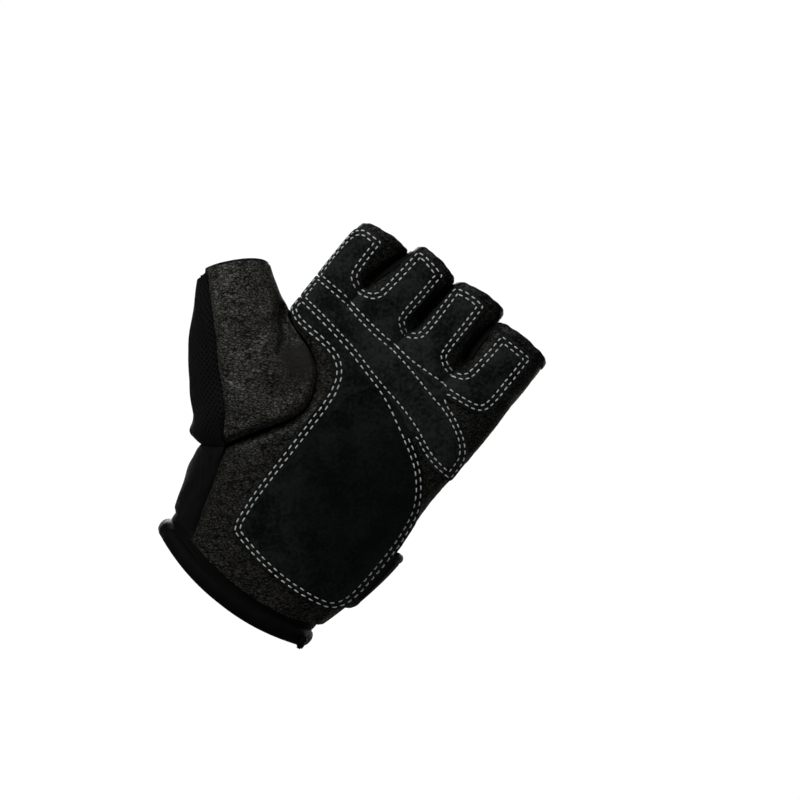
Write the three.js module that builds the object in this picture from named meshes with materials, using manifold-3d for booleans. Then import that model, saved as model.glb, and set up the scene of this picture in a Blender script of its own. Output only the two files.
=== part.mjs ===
// A fingerless workout glove for the left hand, as it stands when it is worn.
// Millimetres. +Z runs from the wrist to the fingers, the palm looks along -Y and the thumb points to -X.
// The origin is the middle of the wrist opening.
//
// A grained leather palm and a knitted mesh back are joined at the two sides and by a fourchette strip
// between each two fingers. The thumb is a tube of its own, leather in front and mesh behind, set into
// a hole in the palm. Three suede patches lie on the palm, and the one on the heel of the hand is padded.
import * as THREE from "three";
import { mergeVertices } from "three/addons/utils/BufferGeometryUtils.js";
import Module from "manifold-3d";

const wasm = await Module();
wasm.setup();

// Driving dimensions
const LEATHER = 1.2; // wall of the palm and thumb leather
const MESH = 1.4; // wall of the knitted back
const FOURCHETTE = 1.0;
const SUEDE = 1.2;
const PAD_RISE = 2.6; // foam under the suede on the heel of the hand
const SEAM = 0.3; // gap that neighbouring pieces keep
const WEB_Z = 122.5; // height at which the finger stubs part
const GROOVE_Z = 103; // where the grooves between the fingers begin
const STUB_Z = 142; // height at which the stubs' widths are given
const WEB_HALF = 4; // half of the web's depth, from palm to back
const FINGER_SEAM = 60; // degrees from the finger's front to the fourchette's seam
const FINGER_POWER = 2.3;
const HEM = 3.4; // height of the bound finger ends
const THUMB_HEM = 1.6;
const CUFF_TOP = 35.8; // top of the stretch panel at the wrist
const BINDING_TOP = 6; // top of the binding above its own middle
const CROTCH_Z = 95.2; // height of the crotch between the thumb and the index finger

// Sections of the hand, from the wrist to the roots of the fingers
const PALM_SECTIONS = [
  { z: -6, left: -33.8, right: 33.4, front: 21.4, back: 21.6, power: 2.2 },
  { z: 6, left: -34.2, right: 34.2, front: 21.6, back: 21.8, power: 2.2 },
  { z: 16, left: -36.9, right: 36.8, front: 22.2, back: 21.8, power: 2.3 },
  { z: 28, left: -41.0, right: 38.9, front: 22.8, back: 21.4, power: 2.5 },
  { z: 42, left: -43.6, right: 40.2, front: 22.6, back: 20.6, power: 2.7 },
  { z: 56, left: -45.2, right: 39.9, front: 21.2, back: 19.6, power: 2.8 },
  { z: 70, left: -46.2, right: 38.4, front: 19.2, back: 18.8, power: 2.8 },
  { z: 84, left: -46.7, right: 39.2, front: 17.4, back: 18.0, power: 2.8 },
  { z: 98, left: -46.9, right: 39.9, front: 16.4, back: 17.0, power: 2.8 },
  { z: 112, left: -46.9, right: 40.0, front: 15.4, back: 15.4, power: 2.7 },
  { z: 124, left: -46.9, right: 39.9, front: 14.4, back: 14.0, power: 2.6 },
];

// Rounded swellings and hollows of the palm's front
const PALM_RELIEF = [
  { x: 14, z: 46, wide: 20, tall: 24, rise: 1.8 },
  { x: -2, z: 88, wide: 16, tall: 12, rise: -1.4 },
  { x: -4, z: 110, wide: 34, tall: 8, rise: 0.8 },
];

// Finger stubs: both edges at the web, halfway and at STUB_Z, the heights of the open end at both
// edges and how far it rises between them, how deep they are, and how far they lie behind the hand's middle
const FINGERS = [
  { name: "index", left: [-46.9, -46.8, -46.6], right: [-31.4, -28.9, -25.5], topL: 137.6, topR: 139.4, bow: 2.3 },
  { name: "middle", left: [-30.8, -28.3, -24.9], right: [-9, -8.3, -6.1], topL: 144, topR: 142.2, bow: 2 },
  { name: "ring", left: [-8.4, -7.7, -5.5], right: [14.7, 13.8, 15.8], topL: 142.4, topR: 144.4, bow: 2.4 },
  { name: "little", left: [15.3, 14.4, 16.4], right: [39.9, 39.8, 39.5], topL: 140.4, topR: 140, bow: 2 },
];
const FINGER_DEPTHS = {
  index: { front: 10.4, back: 10, shift: 1 },
  middle: { front: 10.8, back: 10.4, shift: -1.4 },
  ring: { front: 10.6, back: 10.2, shift: 1.2 },
  little: { front: 9.6, back: 9.2, shift: -1.2 },
};
const WEB_FRONT = 12.6; // depths of the stubs where they part
const WEB_BACK = 12.2;

// Thumb sections, fanned about the crotch: their outer and inner edges, how deep they are, where the leather's
// seam lies, and how far the front of the section runs ahead of its edges
const THUMB_SECTIONS = [
  { outX: -50.7, outZ: 42.7, inX: -48.0, inZ: 95.3, y: -3.0, front: 19.0, back: 15.5, seam: 116, bow: 0 },
  { outX: -60.0, outZ: 52.4, inX: -51.0, inZ: 97.0, y: -5.0, front: 17.0, back: 14.0, seam: 116, bow: 0.4 },
  { outX: -68.7, outZ: 63.3, inX: -55.0, inZ: 99.2, y: -6.5, front: 15.0, back: 13.0, seam: 117.5, bow: 1.1 },
  { outX: -75.8, outZ: 75.4, inX: -59.5, inZ: 101.8, y: -7.5, front: 12.8, back: 12.0, seam: 125, bow: 2.1 },
  { outX: -81.4, outZ: 84.3, inX: -64.0, inZ: 104.4, y: -8.0, front: 11.0, back: 11.0, seam: 138, bow: 3 },
];
const THUMB_BULGE = 2.8; // how far the ball of the thumb stands out between its seam and the first section
const THUMB_POUCH = { x: -1.6, z: -2.2 }; // slack mesh above the wrist panel
const THUMB_ROOT_GAP = 0.6; // how much farther the thumb's wall starts from its hole at the crotch
const THUMB_WRAP = -22; // degrees that the thumb's leather wraps round the crotch side
const SEAM_AT_BASE = 118;

// The thumb hole: its seam over the palm's front, down to the corner, and behind the hand
const THUMB_SEAM_FRONT = [
  { x: -46.9, z: 94.7 }, { x: -44.4, z: 92.8 }, { x: -41.5, z: 91.7 }, { x: -36, z: 90.7 }, { x: -30.3, z: 88.4 },
  { x: -26, z: 85.4 },
  { x: -23, z: 81.5 }, { x: -20.4, z: 77 }, { x: -19.3, z: 72 }, { x: -19.7, z: 68 }, { x: -21.5, z: 63 },
  { x: -24.2, z: 58.3 }, { x: -28, z: 52 }, { x: -31, z: 47 }, { x: -34.3, z: 41 },
];
const THUMB_SEAM_CORNER = { x: -41.8, z: CUFF_TOP };
const THUMB_SEAM_BACK = [
  { x: -41.8, z: CUFF_TOP }, { x: -38.4, z: 38.6 }, { x: -31, z: 47 }, { x: -27, z: 60 }, { x: -27.5, z: 74 },
  { x: -32.5, z: 85 }, { x: -40, z: 91 }, { x: -44.2, z: 93 }, { x: -46.9, z: 94.7 },
];
// The seam between the leather and the stretch panel, from the wrist to the thumb
const WRIST_SEAM = [
  { z: -6, x: -20.6 }, { z: 6, x: -22.5 }, { z: 14, x: -25 }, { z: 20, x: -27 }, { z: 27, x: -29.1 },
  { z: 33, x: -31.2 }, { z: 41, x: -34.3 },
];

// Seams that two suede patches share, from the index side to where they part
const UPPER_SEAM = [
  [-50, 112.3], [-40, 111.9], [-30, 110.6], [-20, 109.2], [-10, 108.4], [0, 107.6], [10, 106.8], [17, 106.1],
];
const LOWER_SEAM = [
  [-50, 102.3], [-40, 101.4], [-30, 100.1], [-20, 98.5], [-10, 96.1], [0, 93.7], [8, 91.2], [17.5, 87.3],
];

// Number helpers
const RAD = Math.PI / 180;
const inset = SEAM / 2 / (FINGER_DEPTHS.index.front * RAD); // half a seam's gap in degrees round a finger
const lerp = THREE.MathUtils.lerp;
const clamp = THREE.MathUtils.clamp;
const smooth = (low, high, value) => THREE.MathUtils.smoothstep(value, low, high);

// Reads a column of a table whose rows ascend in key, with a smooth curve through the rows.
function read(table, key, value, column) {
  const last = table.length - 1;
  let i = 0;
  while (i < last - 1 && value > table[i + 1][key]) i += 1;
  const slope = (k) => {
    const [a, b] = [table[Math.max(k - 1, 0)], table[Math.min(k + 1, last)]];
    return (b[column] - a[column]) / (b[key] - a[key]);
  };
  const [p, q] = [table[i], table[i + 1]];
  const step = q[key] - p[key];
  const t = clamp((value - p[key]) / step, 0, 1);
  const [t2, t3] = [t * t, t * t * t];
  return (
    (2 * t3 - 3 * t2 + 1) * p[column] +
    (t3 - 2 * t2 + t) * step * slope(i) +
    (3 * t2 - 2 * t3) * q[column] +
    (t3 - t2) * step * slope(i + 1)
  );
}

// Height of a superellipse of the given power above its long axis, for u from -1 to 1
const bow = (u, power) => Math.pow(Math.max(0, 1 - Math.pow(Math.abs(u), power)), 1 / power);

// The point of a superellipse at an angle: along its long axis, then across it
function superellipse(degrees, power) {
  const [c, s] = [Math.cos(degrees * RAD), Math.sin(degrees * RAD)];
  return [Math.sign(c) * Math.abs(c) ** (2 / power), Math.sign(s) * Math.abs(s) ** (2 / power)];
}

function palmSection(z) {
  const [left, right] = [read(PALM_SECTIONS, "z", z, "left"), read(PALM_SECTIONS, "z", z, "right")];
  return {
    middle: (left + right) / 2,
    half: (right - left) / 2,
    front: read(PALM_SECTIONS, "z", z, "front"),
    back: read(PALM_SECTIONS, "z", z, "back"),
    power: read(PALM_SECTIONS, "z", z, "power"),
  };
}

// A smooth curve through three evenly spaced values, for t from 0 to 1
const through = ([a, b, c], t) => a + t * (4 * b - 3 * a - c) + 2 * t * t * (a - 2 * b + c);

// A finger's outline at height z: its middle, half width and depths
function fingerSection(finger, z) {
  const share = clamp((z - WEB_Z) / (STUB_Z - WEB_Z), 0, 1);
  const [left, right] = [through(finger.left, share), through(finger.right, share)];
  const depths = FINGER_DEPTHS[finger.name];
  return {
    middle: (left + right) / 2,
    half: (right - left) / 2,
    front: lerp(WEB_FRONT, depths.front, share),
    back: lerp(WEB_BACK, depths.back, share),
  };
}

// How far a finger's wall is set back: neighbours by different amounts, and not at all at the hand's sides
function setBack(finger, along) {
  const { shift } = FINGER_DEPTHS[finger.name];
  if (finger.name === "index") return (shift * (1 + along)) / 2;
  if (finger.name === "little") return (shift * (1 - along)) / 2;
  return shift;
}

// The outward direction of a finger's tube
function fingerNormal(finger, degrees, z) {
  const f = fingerSection(finger, z);
  const [along, across] = superellipse(degrees - 90, FINGER_POWER);
  const slope = (u) => Math.sign(u) * Math.abs(u) ** (FINGER_POWER - 1);
  return new THREE.Vector3(slope(along) / f.half, slope(across) / (across < 0 ? f.front : f.back), 0).normalize();
}

// The height of a finger's open end at an angle round it
function fingerTop(finger, degrees) {
  const [along, across] = superellipse(degrees - 90, FINGER_POWER);
  return lerp(finger.topL, finger.topR, (1 + along) / 2) + finger.bow * (across < 0 ? -across : -across / 3);
}

// The middle of the groove between a finger and the next one
const grooveX = (i) => (FINGERS[i].right[0] + FINGERS[i + 1].left[0]) / 2;

// The hand's surface over a point of the XZ plane: side -1 is the palm, side +1 the back.
function surfaceY(side, x, z) {
  const s = palmSection(z);
  const rise = bow((x - s.middle) / s.half, s.power);
  let depth = rise * (side < 0 ? s.front : s.back);
  if (side < 0) {
    for (const r of PALM_RELIEF) {
      depth += rise * r.rise * Math.exp(-(((x - r.x) / r.wide) ** 2) - ((z - r.z) / r.tall) ** 2);
    }
  }
  const share = smooth(GROOVE_Z, WEB_Z, z);
  if (share > 0) {
    const finger = FINGERS.find((f, i) => i === 3 || x < grooveX(i));
    const f = fingerSection(finger, WEB_Z);
    const along = clamp((x - f.middle) / f.half, -1, 1);
    const lobe = (side < 0 ? f.front : f.back) * bow(along, FINGER_POWER) + side * setBack(finger, along);
        const outside = x < f.middle ? finger.name === "index" : finger.name === "little";
    depth = lerp(depth, outside ? lobe : Math.max(lobe, WEB_HALF), share);
  }
  return side * depth;
}

// A point of a finger's tube: 0 degrees is the palm side, 90 the little finger's side, 180 the back.
function fingerPoint(finger, degrees, z, out = 0) {
  const f = fingerSection(finger, z);
  const [along, across] = superellipse(degrees - 90, FINGER_POWER);
  const y = across * ((across < 0 ? f.front : f.back) + out) + setBack(finger, along);
  return new THREE.Vector3(f.middle + along * (f.half + out), y, z);
}

// A point round the wrist or palm: 0 degrees is the little finger's side, 90 the back, 180 the thumb's side, 270 the palm.
function palmRing(degrees, z, out = 0) {
  const s = palmSection(z);
  const [along, across] = superellipse(degrees, s.power);
  const y = across * ((across < 0 ? s.front : s.back) + out);
  return new THREE.Vector3(s.middle + along * (s.half + out), y, z);
}

// The angle on that ring of a point x of the palm's front
function ringAngle(x, z) {
  const s = palmSection(z);
  const along = clamp((x - s.middle) / s.half, -1, 1);
  return 360 - Math.acos(Math.sign(along) * Math.abs(along) ** (s.power / 2)) / RAD;
}

// Height of the binding's middle round the wrist: it dips over the palm and rises at both sides.
function bindingHeight(degrees) {
  const [c, d] = [Math.cos(degrees * RAD), Math.sin(degrees * RAD)];
  return -1.5 + 5.3 * c * c + 1.85 * (1 + d) * d * d;
}

// Shifts the rows of a panel near the wrist, so that its edge follows the binding.
function aboveBinding(z, lowest, degrees) {
  const edge = bindingHeight(degrees) + BINDING_TOP + SEAM;
  return z + (edge - lowest) * (1 - smooth(0, 22, z - lowest));
}

// Mesh helpers. A sheet is a list of points and of quads, which thicken turns into a closed wall.
class Sheet {
  constructor() {
    this.points = [];
    this.quads = [];
    this.found = new Map();
  }

  // The index of a point that a name stands for, made at its first use
  index(name, make) {
    if (!this.found.has(name)) {
      this.found.set(name, this.points.length);
      this.points.push(make());
    }
    return this.found.get(name);
  }

  // Adds a grid of quads. point(row, column) gives a corner, and name(row, column) what it is called.
  addGrid(rows, columns, point, name = (r, c) => `${r}/${c}`) {
    const corner = (r, c) => this.index(name(r, c), () => point(r, c));
    for (let r = 0; r < rows; r += 1) {
      for (let c = 0; c < columns; c += 1) {
        this.quads.push([corner(r, c), corner(r, c + 1), corner(r + 1, c + 1), corner(r + 1, c)]);
      }
    }
    return this;
  }

  normals() {
    const sums = this.points.map(() => new THREE.Vector3());
    for (const [a, b, c, d] of this.quads) {
      const [p, q, r, s] = [a, b, c, d].map((k) => this.points[k]);
      const face = new THREE.Vector3().subVectors(r, p).cross(new THREE.Vector3().subVectors(s, q));
      for (const k of [a, b, c, d]) sums[k].add(face);
    }
    // The hand's side seams lie in the plane y = 0, and the wall's edge stands square to it.
    return sums.map((n, i) => {
      const p = this.points[i];
      if (p.normal) return p.normal;
      return (Math.abs(p.y) < SEAM ? n.setY(0) : n).normalize();
    });
  }

  // A closed wall from one height above the sheet to another, each a number or a function of the point
  thicken(high, low) {
    const normals = this.normals();
    const height = (h, p) => (typeof h === "function" ? h(p) : h);
    const layer = (h) => this.points.map((p, i) => p.clone().addScaledVector(normals[i], height(h, p)));
    const count = this.points.length;
    const faces = [];
    const edges = new Map();
    for (const [a, b, c, d] of this.quads) {
      faces.push([a, b, c], [a, c, d]);
      faces.push([a, c, b].map((k) => k + count), [a, d, c].map((k) => k + count));
      for (const [from, to] of [[a, b], [b, c], [c, d], [d, a]]) {
        if (!edges.delete(`${to},${from}`)) edges.set(`${from},${to}`, [from, to]);
      }
    }
    for (const [from, to] of edges.values()) {
      faces.push([from, from + count, to + count], [from, to + count, to]);
    }
    return geometryOf([...layer(high), ...layer(low)], faces);
  }
}

function geometryOf(points, faces) {
  const geometry = new THREE.BufferGeometry().setFromPoints(points);
  geometry.setIndex(faces.flat());
  return geometry;
}

// A closed ring, swept from a section of points: section(degrees) lists them for each step round.
function sweptRing(steps, section) {
  const rings = Array.from({ length: steps }, (_, i) => section((i * 360) / steps));
  const size = rings[0].length;
  const at = (i, k) => (i % steps) * size + (k % size);
  const faces = [];
  for (let i = 0; i < steps; i += 1) {
    for (let k = 0; k < size; k += 1) {
      faces.push([at(i, k), at(i + 1, k), at(i + 1, k + 1)], [at(i, k), at(i + 1, k + 1), at(i, k + 1)]);
    }
  }
  return geometryOf(rings.flat(), faces);
}

// Turns a geometry into a solid for cutting, and a solid back into a geometry.
function solidOf(geometry) {
  const bare = geometry.clone();
  bare.deleteAttribute("normal");
  bare.deleteAttribute("uv");
  const merged = mergeVertices(bare, 1e-4);
  return new wasm.Manifold(
    new wasm.Mesh({
      numProp: 3,
      vertProperties: new Float32Array(merged.attributes.position.array),
      triVerts: new Uint32Array(merged.index.array),
    }),
  );
}

function geometryFrom(solid) {
  const mesh = solid.getMesh();
  const geometry = new THREE.BufferGeometry();
  geometry.setAttribute("position", new THREE.BufferAttribute(new Float32Array(mesh.vertProperties), 3));
  geometry.setIndex(new THREE.BufferAttribute(new Uint32Array(mesh.triVerts), 1));
  return geometry;
}

// Finishes and the group
const material = (color, roughness) => new THREE.MeshStandardMaterial({ color, roughness, metalness: 0 });
const FINISH = {
  leather: material(0x24211f, 0.5),
  suede: material(0x101313, 0.95),
  mesh: material(0x151516, 0.9),
  stretch: material(0x131214, 0.85),
  binding: material(0x0e0f10, 0.8),
};
const glove = new THREE.Group();

function add(name, geometry, finish) {
  const mesh = new THREE.Mesh(geometry, FINISH[finish]);
  mesh.name = name;
  glove.add(mesh);
}

// Columns of the palm and back panels: each finger's arc, with one column in each groove between them
const ARC_STEPS = 5;
const columns = [];
FINGERS.forEach((finger, i) => {
  const from = i === 0 ? -90 : -FINGER_SEAM;
  const to = i === FINGERS.length - 1 ? 90 : FINGER_SEAM;
  for (let k = 0; k <= ARC_STEPS; k += 1) {
    const degrees = lerp(from + (i ? inset : 0), to - (i < 3 ? inset : 0), k / ARC_STEPS);
    const middle = fingerPoint(finger, degrees, WEB_Z);
    columns.push({ finger: i, degrees, webX: middle.x });
  }
  if (i < 3) columns.push({ finger: -1, webX: grooveX(i) });
});

const PALM_ROWS = [7, 15, 23, 32, 41, 50, 59, 68, 76, 83, 87.5, 90.5, 92.7, CROTCH_Z, 101, 107, 112.5, 117.5, WEB_Z];
const BACK_ROWS = [36.1, 46, 56, 66, 75, 83, 89, 92.8, CROTCH_Z, 101, 107, 112.5, 117.5, WEB_Z];
const FINGER_ROWS = 3;

// The edge of a panel on the thumb's side, at each height
const risingFront = [...THUMB_SEAM_FRONT].reverse();
const risingBack = THUMB_SEAM_BACK;
function leftEdge(side, z) {
  if (z >= CROTCH_Z) return palmSection(z).middle - palmSection(z).half;
  if (side < 0 && z < 41) return read(WRIST_SEAM, "z", z, "x") + SEAM;
  // The seam lies almost level near the crotch, where the gap is kept in height.
  const below = z - (side < 0 ? 0.6 : 1.8) * smooth(72, 88, z);
  if (side < 0) return read(risingFront, "z", below, "x") + SEAM;
  return read(risingBack, "z", below, "x") + 3 * SEAM;
}

// Where a column stands at height z: spread evenly round the hand low down, and in line with the fingers higher up
function columnX(side, c, z) {
  const left = leftEdge(side, z);
  const right = palmSection(z).middle + palmSection(z).half;
  const even = c / (columns.length - 1);
  const oneSided = Math.sin((even * Math.PI) / 2);
  const bothSides = (1 - Math.cos(even * Math.PI)) / 2;
  const web = (columns[c].webX - columns[0].webX) / (columns.at(-1).webX - columns[0].webX);
  const low = lerp(oneSided, bothSides, smooth(86, 100, z));
  return lerp(left, right, lerp(low, web, smooth(70, 116, z)));
}

// The palm or back panel with its four finger arcs, as one sheet
function handPanel(side, rows, belowTop) {
  const sheet = new Sheet();
  const offMiddle = (p) => p.setY(side * Math.max(side * p.y, SEAM / 2 + 0.05));
  const last = columns.length - 1;
  // Faces must look outwards, so the palm runs left to right and the back right to left.
  const order = (c) => (side < 0 ? c : last - c);
  const corner = (r, k) => {
    const c = order(k);
    const x = columnX(side, c, rows[r]);
    const z = side < 0 ? aboveBinding(rows[r], rows[0], ringAngle(x, rows[0])) : rows[r];
    return offMiddle(new THREE.Vector3(x, surfaceY(side, x, rows[r]), z));
  };
  for (let i = 0; i < FINGERS.length; i += 1) {
    const first = columns.findIndex((column) => column.finger === i);
    const tube = (r, k) => {
      const c = first + (side < 0 ? k : ARC_STEPS - k);
      const { degrees } = columns[c];
      const turned = side < 0 ? degrees : 180 - degrees;
      return offMiddle(alongFinger(FINGERS[i], turned, r / FINGER_ROWS, WEB_Z, belowTop));
    };
    const name = (r, k) => `${rows.length - 1 + r}/${first + (side < 0 ? k : ARC_STEPS - k)}`;
    sheet.addGrid(FINGER_ROWS, ARC_STEPS, tube, name);
  }
  sheet.addGrid(rows.length - 1, last, corner, (r, k) => `${r}/${order(k)}`);
  return sheet;
}

// A point of a finger's wall between a height near the web and the hem, with its outward direction
function alongFinger(finger, degrees, share, low = WEB_Z, belowTop = HEM + SEAM) {
  const z = lerp(low, fingerTop(finger, degrees) - belowTop, share);
  const normal = fingerNormal(finger, degrees, z);
  return Object.assign(fingerPoint(finger, degrees, z), { normal });
}

add("palm_leather", handPanel(-1, PALM_ROWS).thicken(0, -LEATHER), "leather");
add("back_mesh", handPanel(1, BACK_ROWS).thicken(0, -MESH), "mesh");

// Stretch panel round the wrist, from the leather's seam over the thumb's side and the back to the little finger's side
const CUFF_ROWS = 5;
const CUFF_COLUMNS = 22;
function cuffTop(degrees) {
  if (degrees <= 180) return CUFF_TOP;
  const [low, high] = [THUMB_SEAM_CORNER, THUMB_SEAM_FRONT.at(-1)];
  let z = low.z;
  for (let i = 0; i < 6; i += 1) {
    z = lerp(low.z, high.z, (palmRing(degrees, z).x - low.x) / (high.x - low.x));
  }
  return z;
}
function cuffPoint(r, c) {
  const share = c / CUFF_COLUMNS;
  let degrees = lerp(ringAngle(-34.3, 41), 0, share);
  const z0 = bindingHeight(degrees) + BINDING_TOP + SEAM;
  const z = lerp(z0, cuffTop(degrees) - SEAM, r / CUFF_ROWS);
  const seamX = read(WRIST_SEAM, "z", z, "x") - SEAM / 2 - 0.1;
  degrees = lerp(ringAngle(seamX, z), 0.9, share);
  return palmRing(degrees, z);
}
const cuffSheet = new Sheet().addGrid(CUFF_ROWS, CUFF_COLUMNS, (r, c) => cuffPoint(r, CUFF_COLUMNS - c));
add("wrist_stretch_panel", cuffSheet.thicken(0, -MESH), "stretch");

// Thumb: the seam loop on the palm, then the fanned sections
const flat = (table) => new THREE.CatmullRomCurve3(table.map((p) => new THREE.Vector3(p.x, 0, p.z)), false, "catmullrom");
const frontCurve = flat(THUMB_SEAM_FRONT);
const backCurve = flat(THUMB_SEAM_BACK);

function thumbLoop(degrees) {
  const turned = (degrees + 360) % 360;
  let p;
  if (turned <= SEAM_AT_BASE) {
    p = frontCurve.getPointAt(turned / SEAM_AT_BASE);
  } else if (turned <= 180) {
    const t = (turned - SEAM_AT_BASE) / (180 - SEAM_AT_BASE);
    const [a, b] = [THUMB_SEAM_FRONT.at(-1), THUMB_SEAM_CORNER];
    p = new THREE.Vector3(lerp(a.x, b.x, t), 0, lerp(a.z, b.z, t));
  } else {
    p = backCurve.getPointAt((turned - 180) / 180);
  }
  p.y = surfaceY(turned <= 180 ? -1 : 1, p.x, p.z);
  return p;
}

function thumbSection(section, degrees, out = 0) {
  const [along, across] = superellipse(degrees, 2.15);
  const outer = new THREE.Vector3(section.outX, section.y, section.outZ);
  const inner = new THREE.Vector3(section.inX, section.y, section.inZ);
  const middle = outer.clone().lerp(inner, 0.5);
  const half = inner.clone().sub(middle);
  half.setLength(half.length() + out);
  const y = -across * ((across > 0 ? section.front : section.back) + out);
  const ahead = new THREE.Vector3(outer.z - inner.z, 0, inner.x - outer.x).normalize();
  middle.addScaledVector(ahead, section.bow * (across > 0 ? across : across / 3));
  return middle.addScaledVector(half, along).add(new THREE.Vector3(0, y, 0));
}

// A column of the thumb's tube, from the seam loop to the open end
function thumbColumn(degrees) {
  const base = thumbLoop(degrees);
  const first = thumbSection(THUMB_SECTIONS[0], degrees);
  const [along, across] = superellipse(degrees, 2);
  const ball = base.clone().lerp(first, 0.5);
  ball.y -= THUMB_BULGE * Math.max(0, across);
  const slack = Math.max(0, -along) ** 4;
  ball.x += THUMB_POUCH.x * slack;
  ball.z += THUMB_POUCH.z * slack;
  const rest = THUMB_SECTIONS.slice(1).map((s) => thumbSection(s, degrees));
  return new THREE.CatmullRomCurve3([base, ball, first, ...rest], false, "catmullrom");
}

// The leather's seam runs at its own angle in each section.
function thumbSeamAngle(share) {
  const steps = [SEAM_AT_BASE, 116.5, ...THUMB_SECTIONS.map((s) => s.seam)];
  const at = clamp(share, 0, 1) * (steps.length - 1);
  const i = Math.min(Math.floor(at), steps.length - 2);
  return lerp(steps[i], steps[i + 1], at - i);
}

const THUMB_ROWS = 10;
const thumbPoint = (degrees, share) => thumbColumn(degrees).getPointAt(clamp(share, 0, 1));

// The outward direction of the thumb's tube, the same on both sides of its seams
function thumbNormal(degrees, share) {
  const round = thumbPoint(degrees + 2, share).sub(thumbPoint(degrees - 2, share));
  const along = thumbPoint(degrees, share + 0.01).sub(thumbPoint(degrees, share - 0.01));
  return along.cross(round).normalize();
}

// A panel of the thumb between two seams, each given as an angle for every share of the thumb's length
function thumbPanel(fromAngle, toAngle, steps) {
  const sheet = new Sheet();
  const point = (r, c) => {
    const degrees = lerp(toAngle(r / THUMB_ROWS), fromAngle(r / THUMB_ROWS), c / steps);
    const length = thumbColumn(degrees).getLength();
    const rootGap = 0.5 + THUMB_ROOT_GAP * ((1 + Math.cos(degrees * RAD)) / 2) ** 6;
    const share = lerp(rootGap / length, 1 - (THUMB_HEM + SEAM) / length, r / THUMB_ROWS);
    return Object.assign(thumbPoint(degrees, share), { normal: thumbNormal(degrees, share) });
  };
  return sheet.addGrid(THUMB_ROWS, steps, point);
}

const seamGap = (share) => lerp(0.5, 1.1, share); // degrees that each thumb panel stays off its seam
const frontSeam = (share) => thumbSeamAngle(share) - seamGap(share);
const backSeam = (share) => thumbSeamAngle(share) + seamGap(share);
const wrapSeam = (share) => 360 + THUMB_WRAP - 1.4 - seamGap(share);
add("thumb_leather", thumbPanel(() => THUMB_WRAP, frontSeam, 12).thicken(0, -LEATHER), "leather");
add("thumb_mesh", thumbPanel(backSeam, wrapSeam, 14).thicken(0, -MESH), "mesh");

// Fourchettes: a strip down the side of one finger, across the web and up the next finger
const FOURCHETTE_COLUMNS = 4;
FINGERS.slice(0, 3).forEach((finger, i) => {
  const next = FINGERS[i + 1];
  const rows = 2 * FINGER_ROWS + 2;
  const low = WEB_Z + SEAM + FOURCHETTE;
  const point = (r, c) => {
    const across = lerp(180 - FINGER_SEAM - inset, FINGER_SEAM + inset, c / FOURCHETTE_COLUMNS);
    if (r <= FINGER_ROWS) return alongFinger(finger, across, 1 - r / FINGER_ROWS, low);
    if (r > FINGER_ROWS + 1) return alongFinger(next, -across, (r - FINGER_ROWS - 2) / FINGER_ROWS, low);
    return new THREE.Vector3(grooveX(i), lerp(WEB_HALF, -WEB_HALF, c / FOURCHETTE_COLUMNS), low);
  };
  const sheet = new Sheet().addGrid(rows, FOURCHETTE_COLUMNS, point);
  add(`fourchette_${finger.name}_${next.name}`, sheet.thicken(0, -FOURCHETTE), "stretch");
});

// Bound ends of the fingers and of the thumb
for (const finger of FINGERS) {
  const ring = (degrees) => {
    const top = fingerTop(finger, degrees);
    const corners = [[top - HEM, -0.3], [top, -0.3], [top, -1.6], [top - HEM, -1.6]];
    return corners.map(([z, out]) => fingerPoint(finger, degrees, z, out));
  };
  add(`finger_hem_${finger.name}`, sweptRing(20, ring), "binding");
}

const lastSection = THUMB_SECTIONS.at(-1);
const thumbAxis = new THREE.Vector3(
  lastSection.outZ - lastSection.inZ,
  0,
  lastSection.inX - lastSection.outX,
).normalize();
add(
  "thumb_hem",
  sweptRing(20, (degrees) => {
    const [outer, inner] = [thumbSection(lastSection, degrees, 0.2), thumbSection(lastSection, degrees, -1.4)];
    const drop = (p) => p.clone().addScaledVector(thumbAxis, -THUMB_HEM);
    return [outer, drop(outer), drop(inner), inner];
  }),
  "binding",
);

// Rolled elastic binding round the wrist, with a flat lip that meets the panels
const BINDING_SECTION = [
  [-2.7, -1.4], [-1.4, -3.1], [0.5, -3.1], [1.5, -1.5], [1.5, 1.3], [0.4, 2.9],
  [-0.2, 3.3], [-0.2, BINDING_TOP], [-1.3, BINDING_TOP], [-1.3, 3.1], [-2.7, 1.5],
];
add(
  "wrist_binding",
  sweptRing(32, (degrees) => {
    const z = bindingHeight(degrees);
    return BINDING_SECTION.map(([out, up]) => palmRing(degrees, z, out).setZ(z + up));
  }),
  "binding",
);

// The sewn end of the binding, a short folded tape outside the roll at the little finger's side
const TAPE = { wide: 3.4, thick: 1.8, tall: 5.2, degrees: -26 };
{
  const outline = new THREE.Shape();
  const [w, t, r] = [TAPE.wide / 2, TAPE.thick / 2, 0.6];
  outline.moveTo(-w + r, -t).lineTo(w - r, -t).quadraticCurveTo(w, -t, w, -t + r);
  outline.lineTo(w, t - r).quadraticCurveTo(w, t, w - r, t).lineTo(-w + r, t);
  outline.quadraticCurveTo(-w, t, -w, t - r).lineTo(-w, -t + r).quadraticCurveTo(-w, -t, -w + r, -t);
  const tape = new THREE.ExtrudeGeometry(outline, { depth: TAPE.tall, bevelEnabled: false, curveSegments: 2 });
  const at = palmRing(360 + TAPE.degrees, 2, 1.9 + SEAM + TAPE.thick / 2);
  tape.rotateZ(62 * RAD).translate(at.x, at.y, -0.3);
  add("binding_end", tape, "binding");
}

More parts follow.
